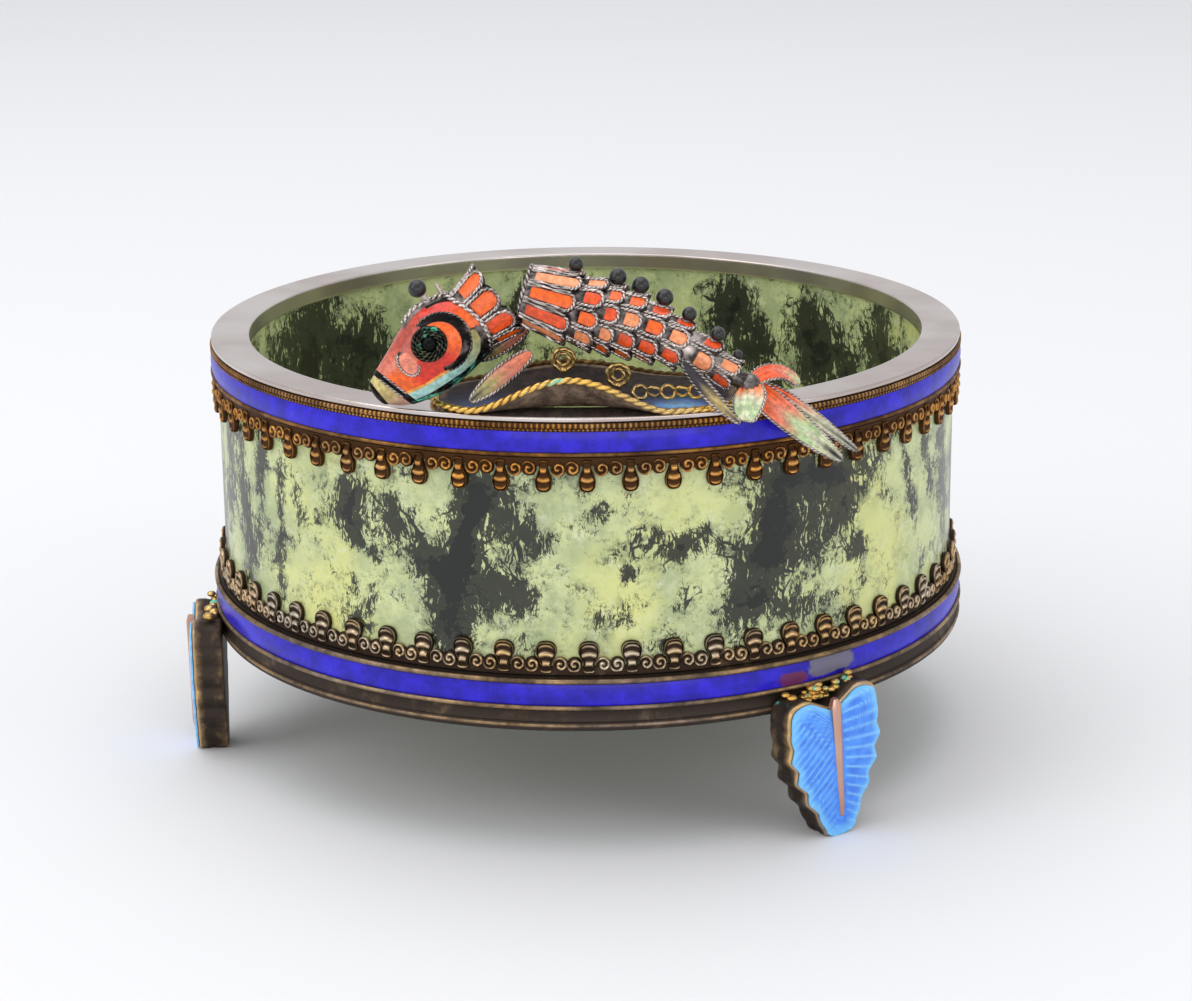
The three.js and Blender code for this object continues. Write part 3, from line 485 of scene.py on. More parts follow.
def cloisonne_material():
    """Enamel among dark silver wire: the mark "cell" tells glass from metal, and "paint" is its colour."""
    sockets = {"Specular IOR Level": 0.3, "Coat Roughness": 0.15}
    made, tree, shader, place = material("cloisonne", 0.3, sockets=sockets)
    glassy = between(tree, mark(tree, "cell"), 0.4, 0.6)
    cloud = noise(tree, place, 1700, 4, 0.6)
    paint = mark(tree, "paint", "Color")
    light, deep = scaled(tree, paint, 1.2), scaled(tree, paint, 0.72)
    glass = blended(tree, between(tree, cloud, 0.35, 0.68), deep, light)
    fine = noise(tree, place, 1500, 3, 0.6)
    patchy = noise(tree, place, 260, 4, 0.6)
    rubbed = maths(tree, "MULTIPLY_ADD", patchy, 0.8, mark(tree, "high"))
    rubbed = maths(tree, "MULTIPLY_ADD", fine, 0.5, rubbed)
    share = between(tree, rubbed, 0.85, 1.5)
    metal = blended(tree, share, tone(24, 21, 21), tone(200, 188, 182))
    crust = maths(tree, "ADD", noise(tree, place, 700, 6, 0.7), mark(tree, "bloom"))
    crust = between(tree, crust, 0.98, 1.12)
    metal = blended(tree, crust, metal, VERDIGRIS)
    join(tree, blended(tree, glassy, metal, glass), shader, "Base Color")
    bare = maths(tree, "SUBTRACT", 1.0, maths(tree, "MAXIMUM", glassy, crust))
    join(tree, maths(tree, "MULTIPLY", bare, 0.9), shader, "Metallic")
    join(tree, maths(tree, "MULTIPLY_ADD", share, -0.2, 0.45), shader, "Roughness")
    join(tree, maths(tree, "MULTIPLY", glassy, 0.5), shader, "Coat Weight")
    bumped(tree, shader, cloud, 0.00006, 0.3)
    return made


STONE = stone_material()
ROYAL = enamel("royal_enamel", tone(22, 10, 146), tone(42, 28, 206), coat=0.2)
SKY = sky_material()
SILVER = aged_metal("rim_silver", (tone(206, 198, 194), tone(186, 172, 166)), tone(112, 98, 90),
                    wear=(-0.1, 0.4), roughness=(0.24, 0.42), grain=1800.0)
GILT = aged_metal("worn_gilding", (tone(200, 164, 112), tone(172, 150, 130)), tone(64, 55, 49),
                  wear=(0.3, 0.95), bloom=VERDIGRIS)
EDGING = aged_metal("stamped_edging", (tone(206, 168, 112), tone(200, 188, 168)), tone(54, 41, 32),
                    wear=(0.15, 0.9), bloom=VERDIGRIS)
GILT_EDGING = aged_metal("gilt_edging", (tone(214, 150, 70), tone(190, 150, 96)), tone(74, 48, 27),
                         wear=(0.3, 1.0), bloom=VERDIGRIS)
BRIGHT = aged_metal("bright_gilding", (tone(236, 186, 92), tone(200, 170, 110)), tone(70, 50, 24),
                    wear=(0.1, 0.7), bloom=VERDIGRIS)
CLOISONNE = cloisonne_material()
LOTUS = lotus_material()
EYE_METAL = aged_metal("coiled_eye", (tone(176, 164, 120), tone(130, 140, 112)), tone(16, 20, 18),
                       wear=(0.35, 0.8), bloom=tone(70, 176, 140), roughness=(0.2, 0.35))
RIB = aged_metal("bare_midrib", (tone(216, 178, 160), tone(196, 148, 128)), tone(120, 84, 72),
                 wear=(-0.2, 0.5), roughness=(0.35, 0.5))


# Stone, rim plate and bands

STONE_PATCHES = (   # azimuth from the front, drop under the rim, half width and height in mm, lean, strength
    (-15, 10, 2.6, 3.5, 20, 1.0), (-18, 16, 3.0, 4.5, 10, 1.0), (-20, 24, 2.3, 5.0, -5, 1.0),
    (-18.5, 31, 1.7, 3.2, -8, 0.9), (-11.5, 21, 5.0, 2.6, 35, 0.6), (-10, 12, 3.2, 3.0, 0, 0.45),
    (-27, 14, 1.8, 5.5, -40, 0.5), (-24, 19, 4.0, 2.0, 30, 0.45), (-36.5, 12.5, 2.6, 3.2, 0, 0.85),
    (-34, 17, 5.0, 1.6, 40, 0.5), (-27, 33, 3.5, 2.0, 0, 0.8), (-47, 15, 1.5, 6.0, 0, 0.3),
    (-36, 26, 3.0, 4.0, 30, 0.35), (-52, 20, 0.9, 14, 3, 0.5), (-57, 10, 1.6, 9, 6, 0.75),
    (-63, 20, 1.8, 11, -5, 0.7), (-71, 14, 2.6, 9, 10, 0.6), (-80, 20, 3.0, 11, -10, 0.75),
    (34, 9, 6.0, 2.2, 0, 0.95), (28, 13, 3.2, 3.5, -10, 1.0), (26, 18, 4.0, 3.5, 0, 1.0),
    (23, 24, 2.4, 3.5, 0, 0.9), (30, 24, 5.0, 2.0, 20, 0.55), (36, 15, 4.0, 5.0, 30, 0.6),
    (43, 20, 1.8, 2.0, 0, 0.75), (40, 12, 2.0, 4.0, 0, 0.6), (47, 10, 3.0, 4.0, 30, 0.4),
    (56, 14, 0.9, 12, -20, 0.45), (62, 12, 0.8, 12, -18, 0.5), (70, 15, 2.4, 12, -10, 0.5),
    (80, 18, 2.6, 12, 0, 0.6), (2, 11.5, 1.4, 1.4, 0, 0.5), (7.5, 15, 2.2, 1.5, -15, 0.7),
    (13, 16, 2.4, 1.5, 0, 0.8), (5.5, 19, 1.0, 1.0, 0, 0.75), (-7, 15, 2.6, 2.0, 20, 0.4),
    (12, 24, 2.0, 2.0, 0, 0.35), (4, 24, 2.0, 1.5, 20, 0.25), (-8, 30, 3.0, 1.5, 10, 0.3),
    (11, 28, 2.0, 1.0, 0, 0.35), (240, 9, 8.0, 6.5, 20, 1.0), (226, 12, 5.0, 6.0, -30, 0.95),
    (234, 20, 4.0, 7.0, 30, 0.7), (250, 14, 3.0, 10, 20, 0.5), (206, 8, 4.5, 2.5, 20, 0.5),
    (192, 9, 3.0, 5.0, -25, 0.75), (184, 18, 3.5, 3.0, 0, 0.4), (264, 15, 3.5, 10, 0, 0.6),
    (152, 8, 3.5, 5.0, 25, 0.8), (144, 15, 3.0, 9.0, 20, 0.75), (133, 10, 4.5, 7.0, 25, 0.9),
    (122, 16, 3.5, 8.0, 28, 0.8), (113, 9, 4.0, 7.0, 20, 0.85), (102, 15, 3.0, 9.0, 15, 0.6),
    (95, 16, 2.5, 12, 0, 0.6),
)


def stone():
    """Turned wall and floor. Its mark "patch" adds up a bell curve for each dark marking, by azimuth and drop
    alone, so outside and inside match, and is held at 0.3 on the bottom face as painted shade."""
    mouth = STONE_RADIUS - STONE_WALL
    low, high = STONE_LOW[2], STONE_HIGH[2]
    floor = low + STONE_FLOOR
    rows = 46
    wall = np.linspace(low + 0.6, high - 0.6, rows)
    fillet = np.linspace(0, TURN / 4, 8)
    profile = np.vstack([
        [[0, low], [STONE_RADIUS - 0.8, low], [STONE_RADIUS - 0.25, low + 0.1], [STONE_RADIUS, low + 0.35]],
        np.c_[np.full(rows, STONE_RADIUS), wall],
        [[STONE_RADIUS, high - 0.3], [STONE_RADIUS - 0.3, high], [mouth + 0.3, high], [mouth, high - 0.3]],
        np.c_[np.full(rows - 8, mouth), np.linspace(high - 0.6, floor + FLOOR_FILLET, rows - 8)],
        np.c_[mouth - FLOOR_FILLET * (1 - np.cos(fillet)), floor + FLOOR_FILLET * (1 - np.sin(fillet))],
        np.c_[np.linspace(mouth - FLOOR_FILLET - 1, 0, 24), np.full(24, floor)],
    ])
    azimuth = np.degrees(round_steps(ROUND_SEGMENTS)) + 90
    drop = RIM_TOP - profile[:, 1:]
    patch = np.zeros((len(profile), ROUND_SEGMENTS))
    for at, depth, wide, tall, lean, strength in STONE_PATCHES:
        x = np.radians((azimuth - at + 180) % 360 - 180) * STONE_RADIUS
        y = drop - depth
        c, s = math.cos(math.radians(lean)), math.sin(math.radians(lean))
        patch += 0.9 * strength * np.exp(-((x * c + y * s) / wide) ** 2 - ((y * c - x * s) / tall) ** 2)
    # Painted shade: the bottom face is greyed and darkened by a set mark of 0.3, so the shade under the drum
    # comes out less green.
    patch[:2] = 0.3
    make("stone", [turned(profile, patch=np.clip(patch, 0, 1.15))], STONE, ["stone_bowl"])


def rim_plate():
    """Flat ring with rounded edges and a short lip inside the mouth."""
    mouth = STONE_RADIUS - STONE_WALL
    profile = [
        [mouth - RIM_LIP, RIM_TOP], [RIM_RADIUS, RIM_TOP], [RIM_RADIUS, RIM_TOP - RIM_THICKNESS],
        [mouth - 0.1, RIM_TOP - RIM_THICKNESS], [mouth - 0.1, RIM_TOP - RIM_THICKNESS - RIM_LIP_DEPTH],
        [mouth - RIM_LIP, RIM_TOP - RIM_THICKNESS - RIM_LIP_DEPTH],
    ]
    make("rim", [turned(softened(profile, 0.15), high=0.75)], SILVER, ["rim_plate"])


def ring_path(radius, height):
    """Level circle about the drum's axis."""
    angle = round_steps(ROUND_SEGMENTS)
    return np.stack([AXIS[0] + radius * np.cos(angle), AXIS[1] + radius * np.sin(angle),
                     np.full(ROUND_SEGMENTS, height)], -1)


def enamel_ring(node, name, mended=False):
    """Enamel in a channel, its face a little domed: the dome is half a sine over its height. A mended ring
    has a grey place over the front foot and a dark red spot beside it, each a bell curve round the ring."""
    low, high = corners(node)
    radius = (high[0] - low[0]) / 2
    share = np.linspace(0, 1, 11)
    face = np.c_[radius - 0.1 + 0.16 * np.sin(math.pi * share), low[2] + share * (high[2] - low[2])]
    profile = np.vstack([face, [[radius - 0.35, high[2]], [radius - 0.35, low[2]]]])
    azimuth = (np.degrees(round_steps(ROUND_SEGMENTS)) + 270) % 360 - 180
    level = (profile[:, 1:] - low[2]) / (high[2] - low[2])
    mend = spot = np.zeros((len(profile), ROUND_SEGMENTS))
    if mended:
        mend = np.exp(-((azimuth - MEND_AZIMUTH) / 4.6) ** 4) * ease(level, -0.2, 0.5)
        spot = np.exp(-((azimuth - SPOT_AZIMUTH) / 2.8) ** 2 - ((level - 0.35) / 0.4) ** 2)
    make(name, [turned(profile, mend=mend, spot=spot)], ROYAL, [node])


def beaded_ring(radius, height, wide, tall, pitch, depth=0.25):
    """Strip stamped with fine notches: a round section whose reach swings by a cosine of the length round."""
    count = round(TURN * radius / pitch)
    points = count * 4
    swing = 1 - depth * (0.5 - 0.5 * np.cos(round_steps(points) * count))
    angle = round_steps(6)
    place = round_steps(points)
    reach = radius + wide * swing[:, None] * np.cos(angle)
    spread = np.stack([AXIS[0] + reach * np.cos(place)[:, None], AXIS[1] + reach * np.sin(place)[:, None],
                       np.broadcast_to(height + tall * np.sin(angle), reach.shape)], -1)
    return surface(spread, rows_close=True, high=(swing[:, None] - 0.55) * 1.6 + 0 * angle)


def upper_band():
    """Channel, a notched strip over the enamel and a plain wire under it."""
    low, high = corners("upper_band")
    enamel_low, enamel_high = corners("upper_enamel")
    radius = (high[0] - low[0]) / 2
    wall = radius - 0.55
    strip = (enamel_high[2] + high[2]) / 2
    half = (high[2] - enamel_high[2]) / 2
    channel = [[wall - 0.25, high[2]], [wall + 0.2, high[2]], [wall, enamel_high[2]], [wall, enamel_low[2]],
               [wall + 0.3, low[2]], [wall - 0.25, low[2]]]
    wire = (low[2] + enamel_low[2]) / 2
    parts = [
        turned(softened(channel, 0.05), high=0.1),
        beaded_ring(radius - 0.33, strip + half * 0.35, 0.33, half * 0.62, 0.62, 0.35),
        beaded_ring(radius - 0.28, strip - half * 0.62, 0.26, half * 0.36, 0.52, 0.5),
        tube(ring_path(radius - 0.22, wire), 0.24, closed=True, high=0.45),
    ]
    make("upper_binding", parts, GILT_EDGING, ["upper_band"])


def lower_band():
    """Channel, wires over and under the enamel, a drawn-in neck and a rounded base moulding."""
    low, high = corners("lower_band")
    enamel_low, enamel_high = corners("lower_enamel")
    radius = (high[0] - low[0]) / 2
    wall = radius - 0.7
    neck = enamel_low[2] - 0.65
    base = low[2] + 1.2
    bow = np.linspace(-TURN / 4, TURN / 4, 9)
    profile = np.vstack([
        [[wall - 0.8, high[2]], [wall + 0.1, high[2]], [wall, enamel_high[2]], [wall, enamel_low[2]],
         [wall + 0.35, neck + 0.05], [wall + 0.2, neck - 0.1], [wall + 0.2, base + 0.35], [wall + 0.3, base]],
        np.c_[wall + 0.05 + 0.5 * np.cos(bow), low[2] + 0.6 - 0.6 * np.sin(bow)],
        [[wall - 4.8, low[2]], [wall - 4.8, low[2] + 0.6], [wall - 0.8, low[2] + 0.6]],
    ])
    parts = [turned(profile, high=0.2)]
    wires = (   # inset, height and radius
        (0.3, (high[2] + enamel_high[2]) / 2, 0.32), (0.25, enamel_low[2] - 0.28, 0.27),
        (0.28, low[2] + 0.75, 0.22),
    )
    for inset, height, thick in wires:
        parts.append(tube(ring_path(radius - inset, height), thick, 12, closed=True, high=0.5))
    make("lower_binding", parts, GILT, ["lower_band"])


def gallery(node, name, base, direction, width, metal):
    """Stamped edging. Each repeat has a round-headed lobe and two snail curls on a low strip. A lobe is
    domed, the square root of what its share leaves, and ribbed by a cosine of the height bowed by the square
    of the place across. A curl's groove is a cosine of the reach less the turn, which winds it up."""
    pitch = TURN * STONE_RADIUS / GALLERY_REPEATS
    centres = np.arange(GALLERY_REPEATS)[:, None, None] * pitch

    def stamped(outline, centre, rows, tall, groove):
        """Every repeat of one domed form, from its centre out to its outline and then closed behind."""
        share = np.r_[np.linspace(0, 1, rows), 1.0, 0.0][:, None]
        flat = centre + (outline - centre) * share[..., None]
        cut = groove(flat[..., 0] - centre[0], flat[..., 1], share)
        out = (tall * np.sqrt(1 - 0.62 * share ** 3) + 0.17 * cut) * np.r_[np.ones(rows), 0, 0][:, None]
        shine = np.clip(0.42 + 0.45 * cut - 0.25 * share ** 4, 0, 1) * np.ones_like(out)
        places = round_drum(flat[..., 0] + centres, base + direction * flat[..., 1], 0.15 + out)
        return surface(places, high=shine, bloom=0.3 * ease(-cut, 0.2, 0.9))

    half = np.array(LOBE_HALF) * [width, 1]
    lobe = curve(np.vstack([half, half[::-1] * [-1, 1]]), 40, closed=True)
    angle = round_steps(20)
    circle = np.stack([CURL_HALF[0] * np.cos(angle), CURL_HALF[1] * np.sin(angle)], -1)
    strip = base + direction * GALLERY_STRIP
    profile = [[STONE_RADIUS + 0.12, base], [STONE_RADIUS + 0.55, base], [STONE_RADIUS + 0.42, strip],
               [STONE_RADIUS + 0.12, strip]]
    parts = [turned(softened(profile, 0.06), high=0.05)]
    parts.append(stamped(lobe, np.array([0, LOBE_HEART]), 13, 0.62,
                         lambda x, up, share: np.where(
                             share > 0.8, np.cos(TURN * (share - 0.93) / 0.24),
                             np.cos(TURN * (up + 0.4 * x ** 2 - 0.35) / 1.15))))
    for side in (-1, 1):
        middle = np.array([side * pitch * CURL_PLACE[0], CURL_PLACE[1]])
        parts.append(stamped(circle + middle, middle, 9, 0.5, lambda x, up, share: np.cos(
            TURN * share * 1.35 - side * angle) * ease(share, 0.0, 0.25)))
    make(name, parts, metal, [node], crease=50)


# Feet

def leaf_outline(margin, count=160):
    """Leaf from its tip up: sides that swell as a sine, scalloped by a cosine, two shoulders, a notch."""
    half = FOOT_WIDTH / 2 - margin
    tall = FOOT_TALL - 2 * margin
    t = np.linspace(0, 1, FOOT_SCALLOPS * 4 + 1)
    swell = LEAF_TIP + (1 - LEAF_TIP) * np.sin(math.pi / 2 * np.minimum(1, t / 0.82) ** 1.15)
    swell = half * swell * (1 - 0.06 * t)
    scallop = -FOOT_SCALLOP_DEPTH * 1.15 * np.cos(TURN * FOOT_SCALLOPS * t) * np.sin(math.pi * t)
    side = np.c_[swell + scallop, margin + tall * (0.03 + 0.85 * t)]
    shoulder = [[half * wide, margin + tall * up] for wide, up in LEAF_SHOULDERS]
    right = np.vstack([[[half * LEAF_TIP * 0.55, margin]], side, shoulder])
    left = right[::-1] * [-1, 1]
    return curve(np.vstack([right, [[0, margin + tall * 0.9]], left]), count, closed=True)


def foot_place(index):
    """How a foot's own coordinates, across, up and towards the front of its leaf, lie in the model."""
    turn, lean, yaw = (math.radians(each[index]) for each in (FOOT_AZIMUTHS, FOOT_ROLLS, FOOT_YAWS))
    middle = FOOT_TALL / 2

    def place(across, up, out):
        """Leaned and yawed about its middle, then turned round the drum's axis."""
        height = up - FOOT_FLAT - middle
        flat = across * math.cos(lean) + height * math.sin(lean)
        z = -across * math.sin(lean) + height * math.cos(lean) + middle
        deep = -out - FOOT_THICKNESS / 2
        x = flat * math.cos(yaw) - deep * math.sin(yaw)
        y = flat * math.sin(yaw) + deep * math.cos(yaw) - FOOT_REACH + FOOT_THICKNESS / 2
        return np.stack([AXIS[0] + x * math.cos(turn) - y * math.sin(turn),
                         AXIS[1] + x * math.sin(turn) + y * math.cos(turn), np.maximum(z, 0)], -1)
    return place


def foot(index):
    """Thick scalloped plate, an enamel face with a fold towards its midrib, and the faceted midrib itself."""
    place = foot_place(index)
    number = index + 1
    heart = np.array([0, FOOT_TALL * 0.55])
    outline = leaf_outline(0)

    def lens(edge, rows, **marks):
        """Each row is a share of the outline from the leaf's heart, and how far it stands out."""
        rows = np.asarray(rows, float)
        flat = heart + (edge - heart) * rows[:, :1, None]
        out = np.broadcast_to(rows[:, 1:], flat.shape[:-1])
        return surface(place(flat[..., 0], flat[..., 1], out), **marks), flat

    back = -FOOT_THICKNESS
    rows = [[0, -0.05], [0.9, -0.05], [0.975, 0.0], [0.995, -0.12], [1, -0.35], [1.0, -1.2], [0.985, -1.8],
            [1.0, -2.4], [1, back + 0.4], [0.985, back + 0.1], [0.96, back], [0.5, back], [0, back]]
    shine = np.array([0.3, 0.4, 0.9, 0.9, 0.5, 0.25, 0.1, 0.3, 0.4, 0.5, 0.3, 0.2, 0.2])[:, None]
    across, up = outline[:, 0], outline[:, 1] / FOOT_TALL
    bloom = 0.46 * np.exp(-((across - 1.6) / 2.2) ** 2) * ease(up, 0.84, 0.94)
    bloom += 0.4 * np.exp(-((across + 5.5) / 2.2) ** 2) * ease(up, 0.8, 0.92)
    plate, _ = lens(outline, rows, high=shine, bloom=np.broadcast_to(bloom, (len(rows), len(outline))))
    make(f"foot_{number}_leaf", [plate], GILT, [f"foot_{number}_plate"])

    inner = leaf_outline(FOOT_RIM)
    share = np.r_[np.linspace(0, 1, 34), 1.0, 0.0]
    rise = np.r_[0.68 - 0.36 * np.linspace(0, 1, 34) ** 3, 0.1, 0.1]
    face, flat = lens(inner, np.c_[share, rise])
    across, up = flat[..., 0], flat[..., 1]
    fanned = (up + 0.93 * across) / (1 + 1.15 * across / FOOT_TALL)
    reach = np.where(across < 0, up - 0.85 * across + 0.4, fanned) / (FOOT_TALL / FOOT_VEINS)
    vein = np.clip(1 - np.abs((reach % 1) - 0.5) * 5.2, 0, 1) * ease(np.abs(across), 0.5, 1.2)
    edge = ease(np.broadcast_to(share[:, None], across.shape), 0.8, 0.99)
    face["marks"] = {"vein": vein.ravel(), "edge": edge.ravel()}
    make(f"foot_{number}_face", [face], SKY, [f"foot_{number}_enamel"])

    top, low = FOOT_TALL * 0.97, FOOT_TALL * 0.14
    station = np.array([low, low + 0.25, low + 1.5, top - 1.9, top - 0.9, top - 0.05, top])[:, None]
    wide = np.array([0.0, 0.28, 0.38, 0.68, 0.7, 0.3, 0.0])[:, None]
    tall = np.array([0.5, 0.72, 0.84, 0.98, 1.02, 0.8, 0.5])[:, None]
    section = np.array([[-1, 0], [-1, 0.75], [-0.45, 1], [0.45, 1], [1, 0.75], [1, 0]])
    rib = place(wide * section[:, 0], np.broadcast_to(station, (7, 6)), 0.1 + (tall - 0.1) * section[:, 1])
    make(f"foot_{number}_spine", [surface(rib, high=0.8)], RIB, [f"foot_{number}_rib"], crease=25)


def solder(index):
    """Lumps of solder and crusts of bloom where a foot meets the band: flattened balls, scattered."""
    place = foot_place(index)
    chance = np.random.default_rng(index + 4)
    parts = []
    places = chance.uniform(-6.2, 4.6, SOLDER_LUMPS), chance.normal(0.97, 0.035, SOLDER_LUMPS)
    sizes = chance.uniform(0.3, 0.8, SOLDER_LUMPS)
    for across, up, size in zip(*places, sizes):
        low = np.interp(across, (-6.5, -3.5, 0, 3.5, 6.5), (0.9, 0.97, 0.9, 0.97, 0.92))
        height = FOOT_TALL * min(max(up, low), 1.03)
        centre = place(np.array(across), np.array(height), np.array(-1.9 - 0.9 * chance.random()))
        lump = ball(centre, size, 10, 14, squash=0.6, high=0.55)
        lump["marks"]["bloom"] = np.full(len(lump["points"]), chance.choice([0.3, 0.36, 0.5]))
        parts.append(lump)
    make(f"solder_{index + 1}", parts, BRIGHT, [])


stone()
rim_plate()
enamel_ring("upper_enamel", "upper_blue")
enamel_ring("lower_enamel", "lower_blue", True)
upper_band()
lower_band()
gallery("upper_gallery", "upper_edging", corners("upper_gallery")[1][2], -1, 0.98, GILT_EDGING)
gallery("lower_gallery", "lower_edging", corners("lower_gallery")[0][2], 1, 1.22, EDGING)
for index in range(3):
    foot(index)
    solder(index)

# Fish on its leaf, placed from the foremost point of the rim's top edge

MOUTH = (-23.6, 4.3, 1.95)
GILLS = (-13.4, 6.5, 9.6)
FLATNESS = 0.8                   # width over height, all along the fish
HEAD_STATIONS = (                # along the head, its half height, and how far its middle is off the axis
    (0, 1.55, 0), (1.5, 2.6, -0.35), (4, 3.6, -0.4), (6.5, 4.35, -0.15), (9.3, 4.8, 0.2), (12.94, 4.2, 0),
)
GILL_BULGE = 1.4
HEAD_WALL = 0.45
HEAD_HOLLOW = 6.3
BODY_PATH = (
    (-7.1, 6.9, 12.9), (-1.5, 6.3, 11.2), (5.0, 5.6, 9.4),
    (9.6, 5.0, 7.7), (13.4, 4.5, 5.7), (17.0, 4.0, 3.5),
)
SLEEVE_LENGTHS = (6.3, 3.1, 2.2, 2.6, 2.8, 2.9, 3.7, 2.9)
SLEEVE_RADII = (4.3, 4.3, 4.2, 3.9, 3.4, 2.9, 2.4, 1.9)
SLEEVE_FRONT = 3.2
SLEEVE_WALL = 0.35
SLEEVE_OVERLAP = 1.3
SCALE_WIDTH = 2.5
BACK_BEADS = (0.85, 0, 1, 1, 1, 0.85, 0.85, 0.55)
ORANGE, RED, CORAL, PEACH = tone(238, 96, 14), tone(208, 40, 14), tone(230, 80, 26), tone(242, 150, 100)
PINK, DUSK, CYAN, OLIVE = tone(222, 130, 104), tone(176, 66, 48), tone(160, 204, 196), tone(150, 142, 84)
TAN, SPRING, INK = tone(182, 160, 100), tone(176, 200, 150), tone(40, 36, 42)


def axes(start, end):
    """Origin and directions along, sideways and up of a piece that runs from one point to another."""
    start, end = np.array(start, float), np.array(end, float)
    along = unit(end - start)
    side = unit(np.cross([0, 0, 1], along))
    return PERCH + start, along, side, np.cross(along, side)


def set_in(ways, along, sideways, upwards):
    """Places in a piece's own directions."""
    origin, ahead, side, up = ways
    along, sideways, upwards = np.broadcast_arrays(along, sideways, upwards)
    return origin + along[..., None] * ahead + sideways[..., None] * side + upwards[..., None] * up


def oval(ways, along, angle, radius, rise=0.0):
    """Point of an oval section: angle 0 is the far side, a quarter turn is the back."""
    return set_in(ways, along, FLATNESS * radius * np.cos(angle), rise + radius * np.sin(angle))


def inside(distance, blur=0.05):
    """1 where a signed distance is negative, 0 outside, with a narrow soft edge."""
    return ease(-distance, -blur, blur)


def off_line(x, y, points):
    """Distance from a run of straight lines, and the share of that run at the nearest place."""
    points = np.asarray(points, float)
    start, way = points[:-1], np.diff(points, axis=0)
    dx, dy = x[..., None] - start[:, 0], y[..., None] - start[:, 1]
    t = np.clip((dx * way[:, 0] + dy * way[:, 1]) / (way ** 2).sum(1), 0, 1)
    away = np.hypot(dx - t * way[:, 0], dy - t * way[:, 1])
    nearest = away.argmin(-1)
    share = (nearest + np.take_along_axis(t, nearest[..., None], -1)[..., 0]) / len(way)
    return away.min(-1), share


def between_tones(share, *tones):
    """Colour at a share of the way through several tones."""
    tones = np.array([each[:3] for each in tones])
    at = np.clip(share, 0, 1) * (len(tones) - 1)
    low = np.minimum(at.astype(int), len(tones) - 2)
    part = (at - low)[..., None]
    return tones[low] * (1 - part) + tones[low + 1] * part


class Paint:
    """Colour and kind of a surface, laid over in turn: cell is 1 on enamel and 0 on bare metal."""

    def __init__(self, shape, colour=INK, cell=0.0):
        self.colour = np.broadcast_to(np.array(colour[:3]), shape + (3,)).copy()
        self.cell = np.full(shape, cell)

    def lay(self, mask, colour, cell=1.0):
        """Lay a colour over what is there, as thickly as the mask says."""
        colour = np.asarray(colour, float)[..., :3]
        self.colour += (colour - self.colour) * mask[..., None]
        self.cell += (cell - self.cell) * mask

    def marks(self, high=0.4, bloom=0.0):
        """Marks that the cloisonne material reads."""
        return {"paint": self.colour, "cell": self.cell, "high": high, "bloom": bloom}


HEAD = axes(MOUTH, GILLS)
HEAD_LENGTH = float(np.linalg.norm(np.subtract(GILLS, MOUTH)))
HEAD_CURVE = curve(HEAD_STATIONS, 300)
NOSTRIL = (4.84, 1.55, 0.9, 1.4)     # along and up in the side view, half length and half height
EYE = (8.05, 1.8)
EYE_RADIUS = 2.05
BROW_BEAD = 10.9                     # along the head
PATTERN_SLOPE = 0.32                 # the cheek's pattern is laid out as seen from in front, a little above
PATTERN_DEPTH = 3.4
JAW_STRIPE = ((1.7, -1.2), (2.4, -1.6), (4.7, -2.25), (7.2, -2.55), (9.0, -2.7), (10.6, -2.65), (11.8, -2.1),
              (12.5, -1.25), (12.7, -0.4))


def head_radius(along):
    """Half height of the head, read off its curve."""
    return np.interp(along, HEAD_CURVE[:, 0], HEAD_CURVE[:, 1])


def head_rise(along):
    """How far the head's middle is off its axis, read off its curve."""
    return np.interp(along, HEAD_CURVE[:, 0], HEAD_CURVE[:, 2])


def head_side(along, up, out=0.0, near=True):
    """Place on the head's cheek at a point of its pattern, with the gills' edge drawn back as the surface is.
    The pattern's height takes in a share of the depth, so its place is found by a few repeats."""
    before = along - GILL_BULGE * 0.8 * ease(along, 9.3, HEAD_LENGTH + 1)
    height = up
    for _ in range(6):
        sine = np.clip((height - head_rise(before)) / head_radius(before), -0.99, 0.99)
        depth = FLATNESS * head_radius(before) * np.sqrt(1 - sine ** 2)
        height = up - PATTERN_SLOPE * (PATTERN_DEPTH - depth)
    sideways = FLATNESS * (head_radius(before) + out) * np.sqrt(1 - sine ** 2) * (-1 if near else 1)
    return set_in(HEAD, along, sideways, height + out * sine)


